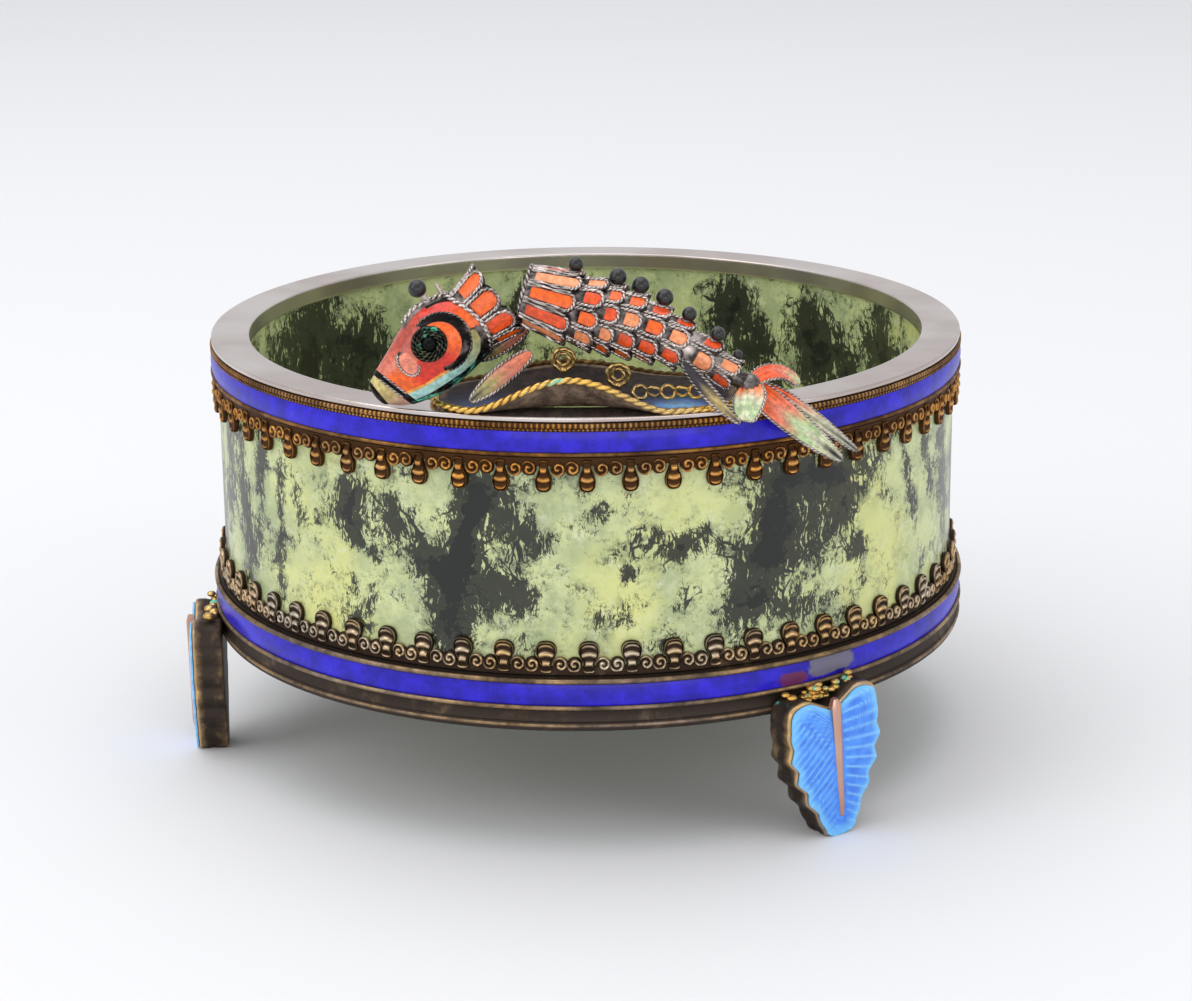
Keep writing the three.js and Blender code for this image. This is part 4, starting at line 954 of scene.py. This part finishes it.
def head_paint(s, h, crown):
    """Enamel of the cheek in its side view: an eye with a crescent behind it, a dark band, an outer crescent
    that runs on to the snout, a nostril patch, a pale stripe along the jaw and tan lips behind two wires."""
    paint = Paint(s.shape)
    around = np.degrees(np.arctan2(h - 1.1, s - 9.25))
    stripe, share = off_line(s, h, JAW_STRIPE)
    level = np.interp(s, *np.array(JAW_STRIPE[:6]).T)
    outer = np.hypot(s - 10.24, h - 1.22) - 3.97
    front = inside(s - 10.24, 0.02) * inside(level - h)
    back = (1 - inside(s - 10.24, 0.02)) * inside(outer) * inside(-0.9 - h)
    dusky = between_tones((around + 20) / 200, ORANGE, ORANGE, RED, RED, DUSK, DUSK, PINK)
    paint.lay(np.clip(front + back, 0, 1), dusky)
    below = front * inside(h - np.interp(s, (2, 4, 6, 8), (2.2, 1.6, 1.2, 1.0)), 0.7)
    paint.lay(below, between_tones((s - 2.0) / 4.5, ORANGE, ORANGE, RED, RED))
    band = np.hypot(s - 9.25, h - 1.1) - 3.5
    inner = np.hypot(s - 8.85, h - 1.06) - 2.63
    arc = ease(around, -122, -108) * (1 - ease(around, 99, 112))
    paint.lay(inside(np.maximum(band, -inner)) * arc, INK, 0.0)
    low_band = inside(np.maximum(around + 14, -around - 122)) * inside(-inner) * inside(level - h + 0.1)
    paint.lay(low_band * (1 - inside(s - 7.6)), tone(52, 54, 66), 0.0)
    crescent = between_tones((around + 120) / 120, RED, CORAL, ORANGE, ORANGE)
    paint.lay(inside(inner) * ease(s + 0.5 * h, 8.0, 9.4), crescent)
    paint.lay(inside(np.abs(stripe - 0.62) - 0.16) * (h > level) * inside(s - 8, 0.6), tone(226, 160, 60))
    paint.lay(inside(stripe - 0.46), between_tones(share * 1.1, CYAN, CYAN, CYAN, tone(168, 178, 140), OLIVE))
    along, up, half, tall = NOSTRIL
    patch = np.hypot((s - along) / half, (h - up) / tall)
    paint.lay(inside(patch - 1.25, 0.06) * (1 - ease(s + 0.2 * h, 5.3, 5.9)), INK, 0.0)
    paint.lay(inside(patch - 1, 0.05), PINK)
    paint.lay(inside(np.hypot(s - EYE[0], h - EYE[1]) - EYE_RADIUS - 0.05), INK, 0.0)
    lips = s - 2.0 + 0.24 * h
    paint.lay(inside(lips), between_tones((h + 1.5) / 3, tone(176, 132, 110), TAN, tone(196, 178, 110)))
    paint.lay(inside(np.abs(lips) - 0.34), INK, 0.0)
    paint.lay(inside(s - 0.15), INK, 0.0)
    paint.lay(crown, INK, 0.0)
    return paint


def fish_head():
    """Blunt cone of oval sections, hollow from the gills, with wires laid round its fields of enamel."""
    rows, columns = 150, 270
    angle = round_steps(columns)
    tip = np.linspace(TURN / 4, 0, 9)[:-1]
    base = np.linspace(0, HEAD_LENGTH, rows)
    along = np.r_[-0.5 * np.sin(tip), base][:, None]
    radius = np.r_[1.55 * np.cos(tip), head_radius(base)][:, None]
    rise = np.r_[np.zeros(len(tip)), head_rise(base)][:, None]
    reach = along + GILL_BULGE * np.cos(angle) ** 2 * ease(along, 7.5, HEAD_LENGTH)
    up = rise + radius * np.sin(angle)
    crown = ease(np.sin(angle) + 0 * along, 0.955, 0.975) * ease(along, 6.0, 8.0)
    depth = FLATNESS * radius * np.abs(np.cos(angle))
    paint = head_paint(reach, up + PATTERN_SLOPE * (PATTERN_DEPTH - depth), crown)
    out = 0.09 * (1 - paint.cell) + 0.02
    outside = oval(HEAD, reach, angle, radius + out * ease(along, -0.4, 0.5), rise)
    deep = [HEAD_LENGTH, HEAD_LENGTH - HEAD_HOLLOW / 2, HEAD_LENGTH - HEAD_HOLLOW, HEAD_LENGTH - HEAD_HOLLOW]
    within = np.array([[4.2 - HEAD_WALL, 3.75, 2.7, 0.0]]).T
    drawn_back = GILL_BULGE * np.cos(angle) ** 2 * [[1], [0.5], [0], [0]]
    hollow = oval(HEAD, np.array([deep]).T + drawn_back, angle, within)
    pad_rows = ((0, 4), (0, 0))
    cell = np.pad(paint.cell, pad_rows)
    high = np.pad(0.25 + 0.25 * crown, pad_rows)
    bloom = 0.5 * np.pad(ease(-np.sin(angle) + 0 * along, 0.55, 0.8), pad_rows)
    colour = np.pad(paint.colour, pad_rows + ((0, 0),))
    skin = surface(np.concatenate([outside, hollow]), cell=cell, high=high, bloom=bloom, paint=colour)
    edge = oval(HEAD, HEAD_LENGTH + GILL_BULGE * np.cos(angle) ** 2 - 0.15, angle, 4.3)
    parts = [skin, tube(edge, 0.32, 8, closed=True, pitch=0.8, depth=0.45, upright=HEAD[1], high=0.9)]
    for near in (True, False):
        turn = np.linspace(0.3, 0.9, 60) * TURN
        nostril = head_side(NOSTRIL[0] + 1.05 * np.cos(turn), NOSTRIL[1] + 1.6 * np.sin(turn), 0.12, near)
        parts.append(tube(nostril, 0.15, 6, pitch=0.4, depth=0.4, upright=HEAD[2], high=0.8))
        for shift in (-0.3, 0.3):
            h = np.linspace(-1.0, 2.2, 40)
            lip = head_side(2.0 - 0.24 * h + shift, h, 0.1, near)
            parts.append(tube(lip, 0.14, 6, pitch=0.5, depth=0.3, upright=HEAD[2], high=0.8))
        turn = np.radians(np.linspace(-112, 108, 90))
        band = head_side(9.25 + 3.42 * np.cos(turn), 1.1 + 3.42 * np.sin(turn), 0.08, near)
        parts.append(tube(band, 0.12, 6, pitch=0.5, depth=0.3, upright=HEAD[2], high=0.55))
    along = np.linspace(7.2, HEAD_LENGTH - 0.2, 60)
    lift = head_radius(along) + head_rise(along)
    crest = set_in(HEAD, along, 0, 0) + HEAD[3] * (lift + 0.15)[:, None]
    parts.append(tube(crest, 0.34, 8, pitch=0.8, depth=0.4, upright=HEAD[2], high=0.8))
    top = head_radius(BROW_BEAD) + 0.2
    bead_at = set_in(HEAD, BROW_BEAD, 0, top + 2.0)
    parts.append(bead(bead_at, 1.05))
    parts.append(tube(np.linspace(set_in(HEAD, BROW_BEAD, 0, top - 0.2), bead_at, 6), 0.36, 10, high=0.6))
    parts.append(ball(set_in(HEAD, BROW_BEAD, 0, top + 0.1), 0.62, 8, 14, squash=0.6, high=0.6))
    pin = np.linspace(set_in(HEAD, 12.6, 0, 4.2), set_in(HEAD, 12.9, 0, 5.8), 6)
    parts.append(tube(pin, 0.22, 8, high=0.9))
    make("fish_cheeks", parts, CLOISONNE, ["fish_head"])


def eyes():
    """Each eye is a black bead in three coils of twisted wire, wider towards the cheek."""
    for near, node in ((True, "fish_eye_left"), (False, "fish_eye_right")):
        centre = head_side(*EYE, 0.0, near)
        out = unit(centre - set_in(HEAD, EYE[0], 0, EYE[1] * 0.4))
        first = unit(np.cross(out, HEAD[3]))
        second = np.cross(out, first)
        turn = round_steps(90)
        circle = first * np.cos(turn)[:, None] + second * np.sin(turn)[:, None]
        parts = [tube(centre + out * lift + circle * radius, 0.24, 8, closed=True, pitch=0.6, depth=0.45,
                      upright=out, high=0.5) for radius, lift in ((1.8, 0.3), (1.42, 0.5), (1.06, 0.66))]
        parts.append(ball(centre + out * 0.35, 0.92, 16, 24, high=0.15))
        for part in parts:
            part["marks"]["bloom"] = np.full(len(part["points"]), 0.46)
        parts[-1]["marks"]["bloom"][:] = 0
        make(node.replace("fish_", "coiled_"), parts, EYE_METAL, [node])


def scales(ways, start, end, radii, count, phase, cell_length, tongue, tones, wall=SLEEVE_WALL):
    """Sleeve with a rounded tongue for each scale. Each scale is a domed field of enamel in a twisted wire
    that runs up both sides and round its tip; the tongue's end is a circle's arc."""
    rows, columns = 44, count * 26
    angle = round_steps(columns)
    place = (angle / TURN * count - phase) % 1
    across = 2 * place - 1
    rear = end - tongue * (1 - np.sqrt(1 - 0.96 * across ** 2))
    v = np.linspace(0, 1, rows)[:, None]
    along = start + (rear - start) * v
    radius = radii[0] + (radii[1] - radii[0]) * (along - start) / (end - start)
    half = math.pi * radii[1] * 0.9 / count
    x, y = np.abs(across) * half * np.ones_like(v), end - along
    field = half - 0.5
    tip = np.hypot(x, np.maximum(0, field + 0.36 - y)) - field
    edge = np.maximum(np.where(y < field + 0.36, tip, x - field), y - cell_length)
    paint = Paint(along.shape, INK, 0.0)
    which = ((angle / TURN * count - phase) // 1).astype(int) % count
    shade = np.array([tones[k % len(tones)][:3] for k in range(count)])[which]
    paint.lay(inside(edge), np.broadcast_to(shade, along.shape + (3,)))
    dome = 0.05 * paint.cell
    outer = oval(ways, along, angle, radius + dome)
    inner = oval(ways, along[::-6], angle, radius[::-6] - wall)
    high = np.r_[0.35 + 0.3 * ease(y, cell_length, cell_length + 1.5), np.full(inner.shape[:2], 0.2)]
    skin = surface(np.concatenate([outer, inner]), rows_close=True, high=high,
                   cell=np.r_[paint.cell, np.zeros(inner.shape[:2])],
                   paint=np.r_[paint.colour, np.zeros(inner.shape)])
    bend = np.linspace(math.pi, 0, 18)
    wire = half - 0.24
    straight = np.linspace(min(cell_length + 1.3, end - start - 0.4), wire + 0.2, 12)[:-1]
    path_x = np.r_[np.full(11, -wire), wire * np.cos(bend), np.full(11, wire)] / half
    path_y = np.r_[straight, wire + 0.2 - wire * np.sin(bend), straight[::-1]]
    centre = (np.arange(count)[:, None] + 0.5 + phase + path_x / 2) / count * TURN
    reach = end - np.broadcast_to(path_y, centre.shape)
    high_on = radii[0] + (radii[1] - radii[0]) * (reach - start) / (end - start) + 0.08
    return [skin, *(tube(oval(ways, a, b, c), 0.24, 6, pitch=0.5, depth=0.5, upright=ways[1], high=0.85)
                    for a, b, c in zip(reach, centre, high_on))]


def body():
    """Nested sleeves along the curved back, each at its own length of the curve."""
    path = curve(BODY_PATH, 400)
    length = np.r_[0, np.cumsum(np.linalg.norm(np.diff(path, axis=0), axis=1))]
    ends = np.r_[0, np.cumsum(SLEEVE_LENGTHS)] / sum(SLEEVE_LENGTHS) * length[-1]
    joints = np.stack([np.interp(ends, length, path[:, i]) for i in range(3)], -1)
    mixes = ((PEACH, ORANGE, CORAL), (CORAL, ORANGE, PEACH), (ORANGE, CORAL, PEACH), (PEACH, CORAL, ORANGE),
             (CORAL, ORANGE), (PEACH, CORAL), (PEACH, CORAL, PEACH), (CORAL, PEACH))
    for i, long in enumerate(SLEEVE_LENGTHS):
        ways = axes(joints[i], joints[i + 1])
        rear = SLEEVE_RADII[i]
        start = -SLEEVE_OVERLAP if i else 0.0
        front = min(rear, SLEEVE_RADII[i - 1] - SLEEVE_WALL - 0.6) if i else SLEEVE_FRONT
        count = max(5, round(math.pi * rear * (1 + FLATNESS) / SCALE_WIDTH))
        cell = 5.3 if i == 0 else min(2.3, long * 0.8)
        parts = scales(ways, start, long, (front, rear), count, i % 2 / 2, cell, 1.0, mixes[i])
        if i == 0:
            ring = oval(ways, np.full(120, 0.15), round_steps(120), front + 0.1)
            parts.append(tube(ring, 0.26, 8, closed=True, pitch=0.7, depth=0.35, upright=ways[1], high=0.7))
        if BACK_BEADS[i]:
            size = BACK_BEADS[i]
            at = long - 0.9 - size * 0.6
            level = front + (rear - front) * (at - start) / (long - start)
            middle = set_in(ways, at, 0, level + size * 1.1)
            parts.append(bead(middle, size))
            parts.append(ball(set_in(ways, at, 0, level + 0.1), size * 0.7, 8, 14, squash=0.5, high=0.5))
        make(f"fish_sleeve_{i + 1}", parts, CLOISONNE, [f"fish_body_{i + 1}"])
    lappets = scales(HEAD, HEAD_LENGTH - 1.6, HEAD_LENGTH + 4.7, (3.3, 4.75), 9, 0.5, 3.3, 1.2,
                     (ORANGE, CORAL, ORANGE))
    make("fish_lappets", lappets, CLOISONNE, ["fish_collar"])
    return axes(joints[-2], joints[-1])


def leaf(path, width, facing, tones, bulge, flutes, thick=0.5, wire=0.16):
    """Leaf along a bent line: its half width follows its shares smoothly, its face is ribbed by a cosine of
    the place across, and a twisted wire runs round its edge."""
    rows, columns = 70, 48
    t = np.linspace(0, 1, rows)
    a, b, c = (PERCH + np.array(p, float) for p in path)
    line = a * (1 - t[:, None]) ** 2 + 2 * b * (t * (1 - t))[:, None] + c * (t ** 2)[:, None]
    along = unit(np.gradient(line, axis=0))
    across = unit(np.cross(along, np.array(facing, float)))
    out = np.cross(across, along)
    shape = curve(np.c_[np.linspace(0, 1, len(bulge)), bulge], 200)
    ends_in = np.sqrt(np.clip(1 - (2 * t - 1) ** 16, 0.02, 1))
    half = width / 2 * np.interp(t, shape[:, 0], shape[:, 1]) * ends_in
    turn = round_steps(columns)
    x = np.cos(turn) * np.ones((rows, 1))
    lens = np.sin(turn)
    ribs = 0.11 * np.cos(math.pi * (2 * flutes + 1) * x) * ease(half[:, None], 0.3, 0.9) * (lens > 0.1)
    raised = thick / 2 * lens + ribs
    grid = line[:, None] + across[:, None] * (x * half[:, None])[..., None] + out[:, None] * raised[..., None]
    paint = Paint((rows, columns), TAN, 1.0)
    shade = between_tones(t[:, None] + 0.12 * np.cos(5 * x) * t[:, None], *tones)
    paint.lay(np.ones((rows, columns)), shade)
    paint.lay(inside(0.93 - np.abs(x), 0.04), INK, 0.0)
    paint.lay(np.broadcast_to(lens < -0.2, x.shape) * 0.9, INK, 0.0)
    skin = surface(grid, **paint.marks(0.55))
    side = np.r_[np.ones(rows), -np.ones(rows)]
    keep = np.r_[np.arange(1, rows - 1), rows + np.arange(1, rows - 1)]
    where = np.r_[np.arange(rows), np.arange(rows)[::-1]]
    edge = line[where] + across[where] * (side * half[where])[:, None]
    ends = [grid[0].mean(0, keepdims=True), grid[-1].mean(0, keepdims=True)]
    caps = np.concatenate([np.repeat(ends[0][None], columns, 1), grid[:1]])
    tips = np.concatenate([grid[-1:], np.repeat(ends[1][None], columns, 1)])
    rope = tube(edge[keep], wire, 6, closed=True, pitch=0.5, depth=0.4, upright=facing, high=0.75)
    return [skin, surface(caps, high=0.4), surface(tips, high=0.4), rope]


def tail(last):
    """Four leaves from one root, soldered to a short neck."""
    root = (18.6, 3.85, 2.7)
    neck = np.linspace(set_in(last, 2.0, 0, 0), PERCH + np.array(root), 8)
    parts = [tube(neck, 0.95, 16, high=0.4), ball(PERCH + np.array(root), 1.25, 14, 20, high=0.5)]
    cream = tone(206, 206, 176)
    parts += leaf((root, (22.6, 3.2, -0.9), (29.1, 2.7, -6.1)), 3.1, (-0.25, -0.75, 0.6),
                  (CORAL, ORANGE, PINK, SPRING, cream, INK), (0.75, 1.0, 0.85, 0.35), 2)
    parts += leaf((root, (23.2, 4.8, 1.0), (31.1, 4.7, -5.7)), 2.0, (0.2, -0.9, 0.4),
                  (ORANGE, CORAL, cream, INK), (0.7, 1.0, 0.8, 0.3), 1)
    parts += leaf((root, (18.6, 1.6, 1.9), (17.6, -0.4, -0.5)), 3.6, (-0.2, -0.9, 0.4),
                  (ORANGE, PEACH, cream, SPRING, cream), (0.6, 1.0, 0.95, 0.7), 2)
    parts += leaf((root, (21.6, 6.4, 5.0), (24.4, 7.0, 1.9)), 2.8, (-0.2, -0.5, 0.85),
                  (ORANGE, CORAL, PINK, SPRING), (0.6, 1.0, 0.9, 0.4), 1)
    make("fish_tail_leaves", parts, CLOISONNE, ["fish_tail"])


FINS = {
    "fish_pectoral_left": ((-6.2, 3.0, 6.9), (-13.0, 0.7, 1.9), 2.1),
    "fish_pectoral_right": ((-6.6, 9.6, 8.4), (-12.2, 9.2, 4.6), 1.9),
    "fish_pelvic_left": ((11.0, 2.0, 5.9), (17.3, -0.2, -0.8), 1.4),
    "fish_pelvic_right": ((11.0, 8.0, 5.9), (15.6, 10.2, 3.4), 1.3),
}


def fin(node, start, end, width):
    """Small leaf from its root to its tip, bent a little off the straight line."""
    bend = (np.array(start) + np.array(end)) / 2 + np.array([-0.5, -0.4, -0.3])
    tones = (INK, INK, TAN, INK)
    if "pectoral" in node:
        tones = (tone(206, 106, 66), tone(190, 104, 80), OLIVE, INK)
    parts = leaf((start, bend, end), width, (-0.2, -1.0, 0.3), tones, (0.6, 1.0, 0.9, 0.3), 0, 0.4, 0.2)
    make(node + "_blade", parts, CLOISONNE, [node])


PAD_SIZE = (35.6, 18.6)
PAD_CENTRE = np.array([0.2, 8.9, 0])
PAD_CREST = (3.9, 1.5, -2.0, 23.0)   # height in front and behind, place along the rim, and wave length
PAD_FLAT = 0.45


def pad_edge(angle):
    """Rounded rectangle, whose edge lies low and rises in one cosine wave at its crest."""
    c, s = np.cos(angle), np.sin(angle)
    size = (np.abs(c) ** 2.6 + np.abs(s) ** 2.6) ** (-1 / 2.6)
    x, y = size * c * PAD_SIZE[0] / 2, size * s * PAD_SIZE[1] / 2
    height, rear, place, wave = PAD_CREST
    height = height + (rear - height) * (1 + s) / 2
    phase = np.minimum(0.5, np.abs(x + PAD_CENTRE[0] - place) / wave)
    return np.stack([x, y, height * (0.5 + 0.5 * np.cos(TURN * phase)) ** 0.8], -1)


def lotus_pad():
    """Thin dish: flat in the middle, its rise to the edge a power of the way outwards."""
    columns, rows = 200, 32
    angle = round_steps(columns)
    edge = pad_edge(angle)
    share = np.linspace(0, 0.965, rows)[:, None]
    rise = edge[:, 2] * np.clip((share - PAD_FLAT) / (1 - PAD_FLAT), 0, 1) ** 1.6
    over = np.stack([edge[:, 0] * share, edge[:, 1] * share, rise + 0.55], -1)
    under = np.stack([edge[:, 0] * share, edge[:, 1] * share, rise + 0.12], -1)[::-1]
    grid = np.concatenate([over, under]) + PERCH + PAD_CENTRE
    x, y = grid[..., 0] - PERCH[0], grid[..., 1] - PERCH[1]
    upper = np.r_[np.ones((rows, columns)), np.zeros((rows, columns))]
    reach = np.r_[share, share[::-1]] * np.ones(columns)
    # Painted shade and light: the top is dark brown where the fish's belly shades it, over dark enamel, and
    # turns blue and pale blue towards two lit places, one at the right and a weaker one at the left corner;
    # the coat weight follows them.
    lit_blue_place = np.exp(-((x - 10.5) / 4.0) ** 2 - ((y - 3.0) / 3.0) ** 2)
    corner = np.exp(-((x + 12) / 5.0) ** 2 - ((y - 3.5) / 4.0) ** 2)
    blue = between_tones(lit_blue_place + 0.35 * corner, tone(40, 31, 27), tone(14, 44, 96), tone(24, 104, 184),
                         tone(80, 170, 226))
    paint = np.where((upper * (reach < 0.93))[..., None] > 0, blue, np.array(tone(98, 82, 68)[:3]))
    gloss = 0.6 * np.clip(lit_blue_place + 0.5 * corner, 0, 1) * upper
    make("lotus_leaf", [surface(grid, paint=paint, gloss=gloss)], LOTUS, ["pad"])
    turn = round_steps(720)
    rim = pad_edge(turn) + PERCH + PAD_CENTRE + [0, 0, 0.5]
    strands = tube(rim, 0.42, 10, closed=True, pitch=1.15, depth=0.4, high=0.75)
    crest = np.repeat(0.33 + 0.1 * ease(rim[:, 2] - PERCH[2], 2.0, 4.0), 10)
    strands["marks"]["bloom"] = crest
    # Painted shade: the rope's rear half, under the fish's belly, is darkened by a low mark "high".
    near = np.where(rim[:, 1] > PERCH[1] + PAD_CENTRE[1], 0.1, 1.0)
    strands["marks"]["high"] = strands["marks"]["high"] * np.repeat(near, 10)
    make("leaf_rope", [strands], BRIGHT, ["pad_rope"])


def ring(centre, radius, wire, normal, pitch):
    """Twisted wire on a circle about its normal."""
    normal = unit(np.array(normal, float))
    first = unit(np.cross(normal, [0.1, 0.2, 1.0]))
    second = np.cross(normal, first)
    turn = round_steps(48)
    path = centre + radius * (first * np.cos(turn)[:, None] + second * np.sin(turn)[:, None])
    return tube(path, wire, 8, closed=True, pitch=pitch, upright=normal, high=0.75)


def fixings():
    """Gilt rings on stems under the belly, and a short chain beside them."""
    for i in range(2):
        low, high = corners(f"fixing_ring_{i + 1}")
        radius = (high[0] - low[0]) / 2 - 0.25
        centre = np.array([(low[0] + high[0]) / 2, (low[1] + high[1]) / 2, high[2] - radius - 0.25])
        foot = np.array([centre[0], centre[1], low[2]])
        parts = [ring(centre, radius, 0.28, (0, 1, 0.1), 0.9),
                 ring(centre, radius * 0.55, 0.24, (0.3, 1, 0), 0.7),
                 tube(np.linspace(foot, centre - [0, 0, radius], 6), 0.25, 8, high=0.6),
                 ball(centre - [0, 0, radius], 0.45, 8, 12, high=0.7)]
        for part in parts:
            part["marks"]["bloom"] = np.full(len(part["points"]), 0.42)
        make(f"gilt_ring_{i + 1}", parts, BRIGHT, [f"fixing_ring_{i + 1}"])
    low, high = corners("chain")
    links = 5
    parts = []
    for i in range(links):
        share = (i + 0.5) / links
        middle = np.array([
            low[0] + share * (high[0] - low[0]), high[1] - 0.9 - share * (high[1] - low[1] - 1.8),
            (low[2] + high[2]) / 2])
        parts.append(ring(middle, 0.8, 0.22, (0.2, 1, 0.8) if i % 2 else (-0.2, 1, -0.8), 0.8))
    make("chain_links", parts, BRIGHT, ["chain"])


fish_head()
eyes()
tail(body())
for node, (start, end, width) in FINS.items():
    fin(node, start, end, width)
lotus_pad()
fixings()

# Studio: camera, floor and lights

CAMERA_DISTANCE = 371.625        # in front of the drum's axis
CAMERA_HEIGHT = 86.237           # over the rim
CAMERA_TARGET = (1.126, 0.0, -23.79)
CAMERA_ROLL = -0.5603
FOCAL_LENGTH = 90.06
SENSOR_WIDTH = 36.0
FLOOR_REACH = 60.0               # metres from the piece to the floor's edge


def camera():
    """Camera at the photo's viewing angle: level but for its pitch and a slight roll."""
    centre = Vector((AXIS[0], AXIS[1], RIM_TOP)) * MM
    eye = centre + Vector((0, -CAMERA_DISTANCE, CAMERA_HEIGHT)) * MM
    target = centre + Vector(CAMERA_TARGET) * MM
    lens = bpy.data.cameras.new("camera")
    lens.lens = FOCAL_LENGTH
    lens.sensor_width = SENSOR_WIDTH
    lens.sensor_fit = "HORIZONTAL"
    lens.clip_start = 0.01
    body = bpy.data.objects.new("camera", lens)
    turn = (target - eye).to_track_quat("-Z", "Y").to_matrix().to_4x4()
    body.matrix_world = Matrix.Translation(eye) @ turn @ Matrix.Rotation(math.radians(CAMERA_ROLL), 4, "Z")
    bpy.context.scene.collection.objects.link(body)
    bpy.context.scene.camera = body


def floor():
    """Pale paper that runs away behind the piece."""
    made, _, shader, _ = material("pale_paper", roughness=0.75)
    shader.inputs["Base Color"].default_value = tone(222, 222, 224)
    mesh = bpy.data.meshes.new("floor")
    corner_ways = ((-1, -1), (1, -1), (1, 1), (-1, 1))
    mesh.from_pydata([(x * FLOOR_REACH, y * FLOOR_REACH, 0) for x, y in corner_ways], [], [(0, 1, 2, 3)])
    mesh.materials.append(made)
    sheet = bpy.data.objects.new("floor", mesh)
    bpy.context.scene.collection.objects.link(sheet)


def softbox(name, place, size, power, tint=(1, 1, 1)):
    """Area light that looks at the middle of the piece."""
    light = bpy.data.lights.new(name, "AREA")
    light.shape = "RECTANGLE"
    light.size, light.size_y = size
    light.energy = power
    light.color = tint
    lamp = bpy.data.objects.new(name, light)
    lamp.location = place
    lamp.rotation_euler = (Vector((0, 0, 0.03)) - Vector(place)).to_track_quat("-Z", "Y").to_euler()
    bpy.context.scene.collection.objects.link(lamp)


def studio():
    """Pale even surroundings and four soft lights."""
    world = bpy.data.worlds.new("studio")
    bpy.context.scene.world = world
    bpy.context.scene.view_settings.view_transform = "Standard"
    world.use_nodes = True
    world.node_tree.nodes["Background"].inputs["Color"].default_value = (0.93, 0.94, 0.96, 1)
    world.node_tree.nodes["Background"].inputs["Strength"].default_value = 0.82
    softbox("overhead", (-0.15, 0.05, 0.9), (1.0, 1.0), 5.0)
    softbox("left", (-0.8, -0.45, 0.55), (0.5, 0.7), 2.2)
    softbox("right", (0.85, -0.5, 0.45), (0.4, 0.6), 1.2)
    softbox("low_front", (0.1, -1.1, 0.16), (1.2, 0.3), 2.4, (1.0, 0.96, 0.97))


camera()
floor()
studio()
